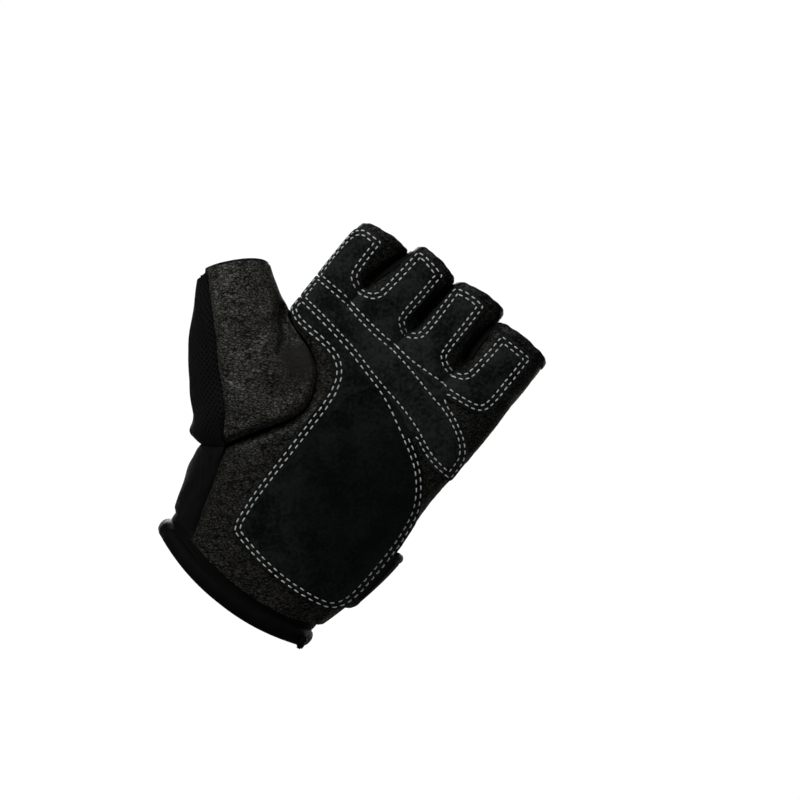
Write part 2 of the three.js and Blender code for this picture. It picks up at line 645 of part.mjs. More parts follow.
// Wrist strap: closed over the back, from the little finger's side seam towards the thumb
const STRAP = [
  { degrees: -14, low: 28, high: 47, lowOut: 0.7, highOut: 0.7 },
  { degrees: 0, low: 24, high: 50, lowOut: 0.5, highOut: 1.9 },
  { degrees: 16, low: 21, high: 49, lowOut: 0.6, highOut: 1.2 },
  { degrees: 60, low: 17, high: 43, lowOut: 0.8, highOut: 0.8 },
  { degrees: 110, low: 14, high: 38, lowOut: 0.8, highOut: 0.8 },
  { degrees: 136, low: 14, high: 35.5, lowOut: 0.8, highOut: 0.8 },
  { degrees: 144, low: 17.5, high: 32, lowOut: 0.8, highOut: 0.8 },
];
const STRAP_THICK = 1.8;
{
  const [rows, steps] = [3, 15];
  const point = (r, c) => {
    const degrees = lerp(STRAP[0].degrees, STRAP.at(-1).degrees, c / steps);
    const [low, high, lowOut, highOut] = ["low", "high", "lowOut", "highOut"].map((column) =>
      read(STRAP, "degrees", degrees, column),
    );
    return palmRing(degrees, lerp(low, high, r / rows), lerp(lowOut, highOut, r / rows));
  };
  const sheet = new Sheet().addGrid(rows, steps, point);
  add("wrist_strap", sheet.thicken(STRAP_THICK, 0), "stretch");
}

// Suede patches: their outlines in the XZ plane, cut from a layer over the palm's leather
const toShape = (points) => new THREE.Shape(points.map(([x, z]) => new THREE.Vector2(x, z)));
const smoothLine = (points, steps) =>
  new THREE.SplineCurve(points.map(([x, z]) => new THREE.Vector2(x, z))).getPoints(steps).map((p) => [p.x, p.y]);
const lifted = (line, by) => line.map(([x, z]) => [x, z + by]);

// A round-bottomed cut between two fingers, from its left top to its right top
function channel(leftTop, left, right, bottom, rightTop) {
  const middle = [(left[0] + right[0]) / 2, bottom];
  return smoothLine([leftTop, left, [left[0] + 1.2, bottom + 1.3], middle, [right[0] - 1.2, bottom + 1.3], right, rightTop], 14);
}

const fingerPatch = [
  ...lifted(smoothLine(UPPER_SEAM, 10), 0.2).reverse(),
  [-50, 136.2], [-46.2, 137.3], [-36.2, 137.3],
  ...channel([-35.2, 136.2], [-35.3, 123.5], [-25.6, 124.5], 119.3, [-23.8, 141.6]),
  [-22.4, 143.4], [-19.5, 143.7], [-14.5, 142.8], [-10.8, 141.9],
  ...channel([-10.2, 140.9], [-11.3, 121.5], [-4.6, 121.5], 117.0, [-4.7, 139.6]),
  [-3.8, 141.4], [0, 142.6], [4, 143.0], [8.4, 142.5],
  ...channel([9.2, 141.2], [9.3, 121], [18.8, 121.5], 116.4, [19.6, 137]),
  [20.6, 138.1], [33, 138.2], [34.4, 136.8],
  ...smoothLine([[34.5, 130], [34.3, 117], [33.2, 111.6], [30, 108.7], [24.5, 107.3], [18.5, 106.2]], 10),
];
const middlePatch = [
  ...lifted(smoothLine(LOWER_SEAM, 10), 0.2),
  ...smoothLine([[18.5, 87.0], [23, 84.9], [28, 83.3], [33, 82.6], [37.6, 82.8], [38.6, 84.4], [38.6, 90.5]], 10),
  ...smoothLine([[38.2, 93], [36, 96.8], [32, 100.2], [26, 103.4], [20.5, 105.4]], 7),
  ...lifted(smoothLine(UPPER_SEAM, 10), -0.2).reverse(),
];
const heelPatch = [
  ...smoothLine([[-50, 98], [-46.8, 96.2], [-44.8, 94.2], [-42, 93], [-36, 92.4], [-30, 92.2], [-24.5, 91.2], [-21.3, 89.3], [-18.9, 86], [-17.3, 81]], 10),
  [-16.6, 74], [-16.3, 60], [-16.1, 45], [-15.7, 34], [-14.4, 22.6],
  ...smoothLine([[-12.4, 18.8], [-4, 16.8], [8, 15.3], [20, 15.5], [29.3, 16.9], [34, 19], [37, 23], [38.6, 29], [39.2, 37], [39.4, 45]], 16),
  ...smoothLine([[39.2, 53], [38.2, 61], [36.8, 67], [33.2, 74], [28, 80], [22, 84.4], [17.5, 86.9]], 10),
  ...lifted(smoothLine(LOWER_SEAM, 10), -0.2).reverse(),
];

// How far the pad lifts the suede at a point: full inside the heel, nothing at its seams
const PAD = { x: 12, z: 52, wide: 25.5, tall: 35 };
function padRise(p) {
  const r = Math.hypot((p.x - PAD.x) / PAD.wide, (p.z - PAD.z) / PAD.tall);
  return PAD_RISE * (1 - smooth(0.55, 1.05, r));
}

const suedeSheet = handPanel(-1, PALM_ROWS, 0.6); // the lobes reach over the bound finger ends
function patchOf(outline, rise) {
  const under = SEAM + 0.05;
  const layer = solidOf(suedeSheet.thicken((p) => under + SUEDE + rise(p), under));
  const block = new THREE.ExtrudeGeometry(toShape(outline), { depth: 60, bevelEnabled: false });
  block.rotateX(90 * RAD).translate(0, -2, 0);
  return geometryFrom(layer.intersect(solidOf(block)));
}
add("suede_fingers", patchOf(fingerPatch, () => 0), "suede");
add("suede_middle", patchOf(middlePatch, () => 0), "suede");
add("suede_heel_pad", patchOf(heelPatch, padRise), "suede");

export default glove;
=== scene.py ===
"""A left fingerless workout glove as worn: the fine shapes, stitching and finishes of its pieces.

Sizes are millimetres, and each mesh is turned into metres as it is made. The palm looks along -Y, the
fingers point to +Z and the thumb to -X.
"""

import math

import bmesh
import bpy
import numpy as np
from mathutils import Matrix, Vector
from mathutils.geometry import delaunay_2d_cdt
from mathutils.kdtree import KDTree


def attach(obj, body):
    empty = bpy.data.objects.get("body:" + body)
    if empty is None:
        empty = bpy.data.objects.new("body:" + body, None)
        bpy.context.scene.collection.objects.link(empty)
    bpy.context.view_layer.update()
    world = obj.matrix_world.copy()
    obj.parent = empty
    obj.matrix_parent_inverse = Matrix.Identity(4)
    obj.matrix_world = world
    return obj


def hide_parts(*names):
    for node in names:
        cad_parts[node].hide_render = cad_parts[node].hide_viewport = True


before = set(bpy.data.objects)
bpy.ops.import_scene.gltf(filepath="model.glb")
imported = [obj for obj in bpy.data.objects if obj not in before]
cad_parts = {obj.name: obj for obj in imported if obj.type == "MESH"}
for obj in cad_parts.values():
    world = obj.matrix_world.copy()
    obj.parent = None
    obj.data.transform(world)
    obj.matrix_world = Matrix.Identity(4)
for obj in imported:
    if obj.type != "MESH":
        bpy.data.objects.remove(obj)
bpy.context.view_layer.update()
dice = np.random.default_rng(12)


def table(columns, rows):
    """Rows of values as dictionaries, under the names of their columns."""
    return [dict(zip(columns.split(), row)) for row in rows]


# Sizes that the pieces share with the solids
LEATHER = 1.2
MESH = 1.4
FOURCHETTE = 1.0
SUEDE = 1.2
PAD_RISE = 2.6  # how far the foam lifts the heel patch
WEB_Z = 122.5  # height of the webs between the fingers
GROOVE_Z = 103  # height from which grooves part the fingers
STUB_Z = 142  # height at which the finger stubs are measured
WEB_HALF = 4  # half the depth of a web
WEB_FRONT = 12.6  # depths of the fingers at the webs
WEB_BACK = 12.2
FINGER_SEAM = 60  # angle from a finger's front to the seam with the strip beside it
FINGER_POWER = 2.3  # how square a finger's section is: 2 is round
HEM = 3.4
THUMB_HEM = 1.6
CUFF_TOP = 35.8
BINDING_TOP = 6

# Sections of the glove, from the wrist to the roots of the fingers. Power says how square a section is
PALM_SECTIONS = table("z left right front back power", [
    (-6, -33.8, 33.4, 21.4, 21.6, 2.2),
    (6, -34.2, 34.2, 21.6, 21.8, 2.2),
    (16, -36.9, 36.8, 22.2, 21.8, 2.3),
    (28, -41.0, 38.9, 22.8, 21.4, 2.5),
    (42, -43.6, 40.2, 22.6, 20.6, 2.7),
    (56, -45.2, 39.9, 21.2, 19.6, 2.8),
    (70, -46.2, 38.4, 19.2, 18.8, 2.8),
    (84, -46.7, 39.2, 17.4, 18.0, 2.8),
    (98, -46.9, 39.9, 16.4, 17.0, 2.8),
    (112, -46.9, 40.0, 15.4, 15.4, 2.7),
    (124, -46.9, 39.9, 14.4, 14.0, 2.6),
])

# Rounded swellings and hollows of the palm's front
PALM_RELIEF = table("x z wide tall rise", [
    (14, 46, 20, 24, 1.8),
    (-2, 88, 16, 12, -1.4),
    (-4, 110, 34, 8, 0.8),
])

# Finger stubs: their edges at the web, halfway and at STUB_Z, the heights of the open end and their depths
FINGERS = table("name left right topL topR bow front back shift", [
    ("index", (-46.9, -46.8, -46.6), (-31.4, -28.9, -25.5), 137.6, 139.4, 2.3, 10.4, 10, 1),
    ("middle", (-30.8, -28.3, -24.9), (-9, -8.3, -6.1), 144, 142.2, 2, 10.8, 10.4, -1.4),
    ("ring", (-8.4, -7.7, -5.5), (14.7, 13.8, 15.8), 142.4, 144.4, 2.4, 10.6, 10.2, 1.2),
    ("little", (15.3, 14.4, 16.4), (39.9, 39.8, 39.5), 140.4, 140, 2, 9.6, 9.2, -1.2),
])

# Thumb sections, fanned about the crotch
THUMB_SECTIONS = table("outX outZ inX inZ y front back bow", [
    (-50.7, 42.7, -48.0, 95.3, -3.0, 19.0, 15.5, 0),
    (-60.0, 52.4, -51.0, 97.0, -5.0, 17.0, 14.0, 0.4),
    (-68.7, 63.3, -55.0, 99.2, -6.5, 15.0, 13.0, 1.1),
    (-75.8, 75.4, -59.5, 101.8, -7.5, 12.8, 12.0, 2.1),
    (-81.4, 84.3, -64.0, 104.4, -8.0, 11.0, 11.0, 3),
])
THUMB_POWER = 2.15
THUMB_RADIUS = 17  # about half its thickness, which sets the scale of its weave
THUMB_BULGE = 2.8  # how far the ball of the thumb swells in front
THUMB_POUCH = (-1.6, -2.2)  # how far the thumb's base sags at its outer side, in x and z
THUMB_WRAP = -22  # angle at which the thumb's leather ends behind its inner side
SEAM_AT_BASE = 118  # angle at which the thumb hole's front seam reaches the cuff

# The thumb hole's seam, in front from the crotch down, and behind from the corner up (x, z)
THUMB_SEAM_FRONT = [
    (-46.9, 94.7), (-44.4, 92.8), (-41.5, 91.7), (-36, 90.7), (-30.3, 88.4), (-26, 85.4), (-23, 81.5),
    (-20.4, 77), (-19.3, 72), (-19.7, 68), (-21.5, 63), (-24.2, 58.3), (-28, 52), (-31, 47), (-34.3, 41),
]
THUMB_CORNER = (-41.8, CUFF_TOP)
THUMB_SEAM_BACK = [
    (-41.8, CUFF_TOP), (-38.4, 38.6), (-31, 47), (-27, 60), (-27.5, 74), (-32.5, 85), (-40, 91), (-44.2, 93),
    (-46.9, 94.7),
]

# The seam between the palm and the stretch panel, from the wrist up (z, x)
WRIST_SEAM = [(-6, -20.6), (6, -22.5), (14, -25), (20, -27), (27, -29.1), (33, -31.2), (41, -34.3)]

# Seams that two suede patches share, from the index side to where they part (x, z)
UPPER_SEAM = [
    (-50, 112.3), (-40, 111.9), (-30, 110.6), (-20, 109.2), (-10, 108.4), (0, 107.6), (10, 106.8),
    (17, 106.1),
]
LOWER_SEAM = [
    (-50, 102.3), (-40, 101.4), (-30, 100.1), (-20, 98.5), (-10, 96.1), (0, 93.7), (8, 91.2), (17.5, 87.3),
]


# Numbers and curves
def lerp(a, b, t):
    """The value at a share t of the way from a to b."""
    return a + (b - a) * t


def smooth(low, high, value):
    """Rises gently from 0 at low to 1 at high."""
    t = np.clip((value - low) / (high - low), 0, 1)
    return t * t * (3 - 2 * t)


def hermite(keys, values, at):
    """A smooth curve through the values, read at one or many places."""
    keys, values = np.asarray(keys, float), np.asarray(values, float)
    slope = np.empty_like(values)
    slope[1:-1] = (values[2:] - values[:-2]) / (keys[2:] - keys[:-2])
    slope[0] = (values[1] - values[0]) / (keys[1] - keys[0])
    slope[-1] = (values[-1] - values[-2]) / (keys[-1] - keys[-2])
    i = np.clip(np.searchsorted(keys, at) - 1, 0, len(keys) - 2)
    step = keys[i + 1] - keys[i]
    t = np.clip((at - keys[i]) / step, 0, 1)
    t2, t3 = t * t, t * t * t
    start = (2 * t3 - 3 * t2 + 1) * values[i] + (t3 - 2 * t2 + t) * step * slope[i]
    return start + (3 * t2 - 2 * t3) * values[i + 1] + (t3 - t2) * step * slope[i + 1]


def read(table, key, at, column):
    """A column of a table as a smooth curve over its key column, read at one or many places."""
    return hermite([row[key] for row in table], [row[column] for row in table], at)


def catmull(points, steps):
    """Evenly spaced points of a smooth curve through rows of points (..., row, axis)."""
    p = np.asarray(points, float)
    first, last = 2 * p[..., :1, :] - p[..., 1:2, :], 2 * p[..., -1:, :] - p[..., -2:-1, :]
    p = np.concatenate([first, p, last], axis=-2)
    spans = p.shape[-2] - 3
    t = np.linspace(0, spans, 24 * spans + 1)
    i = np.minimum(t.astype(int), spans - 1)
    f = (t - i)[:, None]
    a, b, c, d = (p[..., i + k, :] for k in range(4))
    m, n = (c - a) / 2, (d - b) / 2
    dense = b + f * m + f**2 * (3 * (c - b) - 2 * m - n) + f**3 * (2 * (b - c) + m + n)
    return even(dense, steps)


def even(dense, steps):
    """Resamples polylines (..., row, axis) so that their points are evenly spaced."""
    length = np.linalg.norm(np.diff(dense, axis=-2), axis=-1).cumsum(-1)
    length = np.concatenate([np.zeros(length.shape[:-1] + (1,)), length], axis=-1)
    flat, lengths = dense.reshape(-1, *dense.shape[-2:]), length.reshape(-1, length.shape[-1])
    rows = []
    for line, run in zip(flat, lengths):
        at = np.linspace(0, run[-1], steps)
        rows.append(np.stack([np.interp(at, run, line[:, k]) for k in range(line.shape[1])], axis=-1))
    return np.array(rows).reshape(*dense.shape[:-2], steps, dense.shape[-1])


def runs(grid, axis=0):
    """How far every point lies along its line, from the line's first point."""
    lengths = np.linalg.norm(np.diff(grid, axis=axis), axis=-1).cumsum(axis=axis)
    return np.insert(lengths, 0, 0, axis=axis)


def length_of(line):
    """The length of a row of points."""
    return np.linalg.norm(np.diff(line, axis=0), axis=1).sum()


def bow(u, power):
    """The height of a squared circle over its middle line, at shares -1 to 1 of its half width."""
    return np.maximum(0, 1 - np.abs(u) ** power) ** (1 / power)


def superellipse(degrees, power):
    """A point of a squared circle: how far it lies along and across, from -1 to 1."""
    c, s = np.cos(np.radians(degrees)), np.sin(np.radians(degrees))
    return np.sign(c) * np.abs(c) ** (2 / power), np.sign(s) * np.abs(s) ** (2 / power)


def ripples(points, size, seed):
    """Smooth random relief from -1 to 1 over points in space, with bumps about as wide as size."""
    waves = 9
    rng = np.random.default_rng(seed)
    ways = rng.normal(size=(waves, 3))
    ways *= (rng.uniform(0.7, 1.4, waves) * 2 * math.pi / size / np.linalg.norm(ways, axis=1))[:, None]
    return np.sin(points @ ways.T + rng.uniform(0, 6.28, waves)).mean(axis=1) * 2.2


# The glove's form
def palm_section(z):
    """The glove's section at a height: its middle and half width in x, its two depths and its power."""
    left, right = read(PALM_SECTIONS, "z", z, "left"), read(PALM_SECTIONS, "z", z, "right")
    front, back, power = (read(PALM_SECTIONS, "z", z, column) for column in ("front", "back", "power"))
    return (left + right) / 2, (right - left) / 2, front, back, power


def through(values, t):
    """A curve through three values, at shares 0, a half and 1."""
    a, b, c = values
    return a + t * (4 * b - 3 * a - c) + 2 * t * t * (a - 2 * b + c)


def finger_section(i, z):
    """A finger's section at a height: its middle and half width in x, and its two depths."""
    finger = FINGERS[i]
    share = np.clip((z - WEB_Z) / (STUB_Z - WEB_Z), 0, 1)
    left, right = through(finger["left"], share), through(finger["right"], share)
    front, back = lerp(WEB_FRONT, finger["front"], share), lerp(WEB_BACK, finger["back"], share)
    return (left + right) / 2, (right - left) / 2, front, back


def set_back(i, along):
    """How far a finger's section stands back, or forward if below 0. It fades at the sides of the glove."""
    if i == 0:
        return FINGERS[i]["shift"] * (1 + along) / 2
    if i == 3:
        return FINGERS[i]["shift"] * (1 - along) / 2
    return FINGERS[i]["shift"] + 0 * along


def groove_x(i, z=WEB_Z):
    """Where the groove beside a finger runs, halfway to the next finger."""
    here, there = finger_section(i, z), finger_section(i + 1, z)
    return (here[0] + here[1] + there[0] - there[1]) / 2


def surface_y(side, x, z):
    """The glove's surface over points of the XZ plane: side -1 is the palm, side +1 the back."""
    x, z = np.broadcast_arrays(np.asarray(x, float), np.asarray(z, float))
    middle, half, front, back, power = palm_section(z)
    rise = bow((x - middle) / half, power)
    depth = rise * (front if side < 0 else back)
    if side < 0:
        for r in PALM_RELIEF:
            away = ((x - r["x"]) / r["wide"]) ** 2 + ((z - r["z"]) / r["tall"]) ** 2
            depth = depth + rise * r["rise"] * np.exp(-away)
    share = smooth(GROOVE_Z, WEB_Z, z)
    lobes = np.zeros_like(depth)
    for i in range(4):
        low = groove_x(i - 1, z) if i > 0 else -math.inf
        high = groove_x(i, z) if i < 3 else math.inf
        middle, half, front, back = finger_section(i, z)
        along = np.clip((x - middle) / half, -1, 1)
        lobe = (front if side < 0 else back) * bow(along, FINGER_POWER) + side * set_back(i, along)
        outside = (x < middle) & (i == 0) | (x >= middle) & (i == 3)
        lobe = np.where(outside, lobe, np.maximum(lobe, WEB_HALF))
        lobes = np.where((x >= low) & (x < high), lobe, lobes)
    return side * lerp(depth, lobes, share)


def finger_point(i, degrees, z, out=0):
    """Points round a finger: 0 degrees is its front, and 90 its side towards the little finger."""
    middle, half, front, back = finger_section(i, z)
    along, across = superellipse(degrees - 90, FINGER_POWER)
    y = across * (np.where(across < 0, front, back) + out) + set_back(i, along)
    return np.stack(np.broadcast_arrays(middle + along * (half + out), y, z), axis=-1)


def finger_top(i, degrees):
    """The height of a finger's open end all round, bowed up in front and a little down behind."""
    finger = FINGERS[i]
    along, across = superellipse(degrees - 90, FINGER_POWER)
    rise = finger["bow"] * np.where(across < 0, -across, -across / 3)
    return lerp(finger["topL"], finger["topR"], (1 + along) / 2) + rise


def palm_ring(degrees, z, out=0):
    """Points round the glove: 0 degrees is the little finger's side, 90 the back and 270 the palm."""
    middle, half, front, back, power = palm_section(z)
    along, across = superellipse(degrees, power)
    y = across * (np.where(across < 0, front, back) + out)
    return np.stack(np.broadcast_arrays(middle + along * (half + out), y, z), axis=-1)


def ring_angle(x, z):
    """The angle round the glove of a point x on the palm's side."""
    middle, half, _, _, power = palm_section(z)
    along = np.clip((x - middle) / half, -1, 1)
    return 360 - np.degrees(np.arccos(np.sign(along) * np.abs(along) ** (power / 2)))


def binding_height(degrees):
    """The height of the binding's roll, which rises and falls round the wrist."""
    c, d = np.cos(np.radians(degrees)), np.sin(np.radians(degrees))
    return -1.5 + 5.3 * c * c + 1.85 * (1 + d) * d * d


# Meshes
def make(name, points, faces, uv=None, smooth_angle=50):
    """A mesh object from points in mm and faces of their indices, with one uv in mm for each point."""
    mesh = bpy.data.meshes.new(name)
    mesh.from_pydata((np.asarray(points) * 0.001).tolist(), [], [list(map(int, f)) for f in faces])
    if uv is not None:
        corner = np.empty(len(mesh.loops), int)
        mesh.loops.foreach_get("vertex_index", corner)
        layer = mesh.uv_layers.new(name="UVMap")
        layer.data.foreach_set("uv", (np.asarray(uv)[corner] * 0.001).astype(np.float32).ravel())
    mesh.shade_smooth()
    mesh.set_sharp_from_angle(angle=math.radians(smooth_angle))
    item = bpy.data.objects.new(name, mesh)
    bpy.context.scene.collection.objects.link(item)
    return item


def normals_of(points, quads):
    """The directions in which the points of a sheet face."""
    a, b, c, d = (points[quads[:, k]] for k in range(4))
    face = np.cross(c - a, d - b)
    out = np.zeros_like(points)
    for k in range(4):
        np.add.at(out, quads[:, k], face)
    return out / np.maximum(np.linalg.norm(out, axis=1), 1e-9)[:, None]


def quads_between(ids):
    """The quads of a grid of point indices."""
    return np.stack([ids[:-1, :-1], ids[:-1, 1:], ids[1:, 1:], ids[1:, :-1]], axis=-1).reshape(-1, 4)


def grid_quads(rows, columns):
    """The quads of a whole grid of points."""
    return quads_between(np.arange(rows * columns).reshape(rows, columns))


def border_edges(faces):
    """The edges of a sheet that belong to one face only."""
    count, corners = int(faces.max()) + 1, faces.shape[1]
    sides = np.concatenate([faces[:, [k, (k + 1) % corners]] for k in range(corners)])
    there = set((sides[:, 1] * count + sides[:, 0]).tolist())
    return np.array([s for s in sides.tolist() if s[0] * count + s[1] not in there])


def shell(outer, inner, faces):
    """The points and faces of a closed shell between two like sheets. The faces of its rim come last."""
    count, edges = len(outer), border_edges(faces)
    rim = np.stack([edges[:, 0], edges[:, 0] + count, edges[:, 1] + count, edges[:, 1]], axis=-1)
    return np.concatenate([outer, inner]), faces.tolist() + (faces[:, ::-1] + count).tolist() + rim.tolist()


def wall(name, points, quads, thick, uv, lift):
    """A closed wall of cloth or leather whose outer face is the sheet, moved out by lift."""
    normals = normals_of(points, quads)
    outer = points + normals * lift[:, None]
    return make(name, *shell(outer, outer - normals * thick, quads), np.concatenate([uv, uv]))


def nearest(points, targets):
    """For each point, the distance to the nearest target and its index."""
    tree = KDTree(len(targets))
    for k, target in enumerate(targets):
        tree.insert(target if len(target) == 3 else (target[0], target[1], 0), k)
    tree.balance()
    found = [tree.find(p if len(p) == 3 else (p[0], p[1], 0)) for p in points]
    return np.array([f[2] for f in found]), np.array([f[1] for f in found])


def seam_distance(points, quads, is_seam):
    """How far each point lies from the nearest edge of its sheet that is a seam, in mm."""
    edge = np.unique(border_edges(quads))
    return nearest(points, points[edge[is_seam[edge]]])[0]


def rolled(distance, depth, wide):
    """How far a sheet dips where its edge is turned into a seam."""
    return -depth * np.exp(-((distance / wide) ** 2))


# Creases, ridges and dents: the piece they show on, their half widths to the left and right of their line,
# their height, the share of the line over which they fade at its start and end, and the line itself (x, z)
FOLDS = table("on left right rise fade line", [
    ("thumb", 7.0, 2.2, -3.3, (0.06, 0.4),
     [(-50.5, 97.5), (-47.3, 94.2), (-42.6, 88.6), (-39.8, 82.5), (-38, 77)]),
    ("thumb", 2.4, 4.0, 1.2, (0.3, 0.3), [(-57, 93), (-50.5, 88), (-45.5, 81), (-42, 74)]),
    ("thumb", 3.4, 2.4, -1.6, (0.45, 0.25), [(-44, 63.5), (-39.5, 65.8), (-34.5, 67.8), (-25.5, 68.6)]),
    ("thumb", 2.6, 2.6, 0.5, (0.3, 0.3), [(-43, 52), (-35.5, 58), (-29, 65.5)]),
    ("thumb", 0.7, 0.9, -0.6, (0.3, 0.4), [(-65.2, 76.4), (-61.5, 78), (-57, 77.4)]),
    ("thumb", 0.7, 0.9, -0.35, (0.3, 0.4), [(-57, 67.6), (-52, 72.5), (-46, 80)]),
    ("thumb", 0.7, 0.8, -0.35, (0.3, 0.4), [(-70, 84), (-66, 88), (-62, 89.5)]),
    ("thumb", 0.8, 1.0, -0.4, (0.3, 0.4), [(-50, 60.5), (-45, 63.5), (-40, 64.5)]),
    ("cuff", 0.9, 0.7, 1.0, (0.1, 0.4), [(-39.5, 36), (-36, 31), (-32, 25.5), (-30, 20)]),
    ("cuff", 1.3, 1.3, -0.7, (0.1, 0.3), [(-37, 35.5), (-33.5, 29), (-30, 22)]),
    ("cuff", 1.4, 1.4, -0.5, (0.3, 0.3), [(-36, 22), (-33, 14), (-31, 9)]),
    ("palm", 2.4, 2.4, -0.9, (0.3, 0.1), [(22, 15), (27, 11), (31, 6)]),
    ("palm", 1.6, 1.8, 1.1, (0.2, 0.2), [(34, 19), (33, 13), (31, 8)]),
    ("palm", 2.6, 2.6, -0.4, (0.3, 0.3), [(-18, 12), (-10, 9.5), (0, 9)]),
    ("palm", 2.2, 2.2, -0.4, (0.3, 0.3), [(-26, 40), (-22, 33), (-19, 26)]),
    ("suede", 0.7, 0.8, 0.6, (0.4, 0.2),
     [(-10.6, 66), (-10.8, 76), (-10.4, 84), (-6.1, 91.4), (-3.7, 101.4), (-3.4, 104)]),
    ("suede", 1.6, 1.6, -0.5, (0.3, 0.3), [(-12, 88), (-8.2, 93.5), (-6, 101)]),
    ("suede", 0.9, 1.0, 0.6, (0.3, 0.4), [(-31, 102.2), (-24, 104.6), (-15, 106)]),
    ("suede", 1.3, 1.3, -0.3, (0.3, 0.3), [(-30, 105), (-22, 107), (-14, 107.6)]),
    ("suede", 1.4, 1.4, -0.4, (0.3, 0.3), [(-1.5, 99), (2, 101), (7, 101.5)]),
])


def folds(on, points):
    """The height that the folds of one piece add at points, measured in the XZ plane."""
    total = np.zeros(len(points))
    for fold in FOLDS:
        if fold["on"] == on:
            distance, turned_left, along = line_place(points[:, [0, 2]], np.array(fold["line"], float))
            wide = np.where(turned_left, fold["left"], fold["right"])
            start, end = fold["fade"]
            there = smooth(0, start, along) * smooth(0, end, 1 - along)
            total += fold["rise"] * there * np.exp(-((distance / wide) ** 2))
    return total


def line_place(points, line):
    """For each point its distance from a line, whether it lies to its left, and how far along it is."""
    best = np.full(len(points), 1e9)
    turned_left = np.zeros(len(points), bool)
    along = np.zeros(len(points))
    lengths = np.linalg.norm(np.diff(line, axis=0), axis=1)
    for k, length in enumerate(lengths):
        way = (line[k + 1] - line[k]) / length
        gap = points - line[k]
        t = np.clip(gap @ way, 0, length)
        distance = np.linalg.norm(gap - t[:, None] * way, axis=1)
        nearer = distance < best
        best = np.where(nearer, distance, best)
        turned_left = np.where(nearer, way[0] * gap[:, 1] - way[1] * gap[:, 0] > 0, turned_left)
        along = np.where(nearer, (lengths[:k].sum() + t) / lengths.sum(), along)
    return best, turned_left, along


# Palm and back panels
ARC_STEPS = 22  # columns of a panel on each finger
WEB_STEPS = 4  # and in each groove
FINGER_ROWS = 18  # rows up a finger from the web
TONGUE = {"rows": 4, "gather": 0.25, "deep": 1.3, "tall": 1.9}  # the edge turned in between two fingers


def panel_columns():
    """Every column of a panel: its finger and angle, or -1 in a groove, and its x at the web."""
    made = []
    for i in range(4):
        start, end = (-90 if i == 0 else -FINGER_SEAM), (90 if i == 3 else FINGER_SEAM)
        for degrees in np.linspace(start, end, ARC_STEPS + 1):
            made.append((i, degrees, float(finger_point(i, degrees, WEB_Z)[0])))
        if i < 3:
            edge = float(finger_point(i, end, WEB_Z)[0])
            after = float(finger_point(i + 1, -FINGER_SEAM, WEB_Z)[0])
            made += [(-1, 0, lerp(edge, after, k / WEB_STEPS)) for k in range(1, WEB_STEPS)]
    return made


COLUMNS = panel_columns()


def wrist_seam_x(z):
    """Where the seam between the palm and the stretch panel runs."""
    return hermite([p[0] for p in WRIST_SEAM], [p[1] for p in WRIST_SEAM], z)


def left_edge(side, z):
    """Where a panel ends at the thumb's side: at the thumb hole, the wrist seam or the silhouette."""
    middle, half = palm_section(z)[:2]
    seam = THUMB_SEAM_FRONT[::-1] if side < 0 else THUMB_SEAM_BACK
    edge = hermite([p[1] for p in seam], [p[0] for p in seam], z)
    if side < 0:
        below_hole = z < THUMB_SEAM_FRONT[-1][1]
        edge = np.where(below_hole, wrist_seam_x(z), edge)
    return np.where(z >= THUMB_SEAM_FRONT[0][1], middle - half, edge)


def column_x(side, z):
    """Where every column stands at each height: spread evenly low down, in line with the fingers above."""
    z = np.asarray(z, float)[:, None]
    middle, half = palm_section(z)[:2]
    left, right = left_edge(side, z), middle + half
    web = np.array([column[2] for column in COLUMNS])
    web = (web - web[0]) / (web[-1] - web[0])
    even_share = np.linspace(0, 1, len(COLUMNS))
    one_sided = np.sin(even_share * math.pi / 2)
    both_sides = (1 - np.cos(even_share * math.pi)) / 2
    low = lerp(one_sided, both_sides, smooth(86, 100, z))
    return lerp(left, right, lerp(low, web, smooth(70, 116, z)))


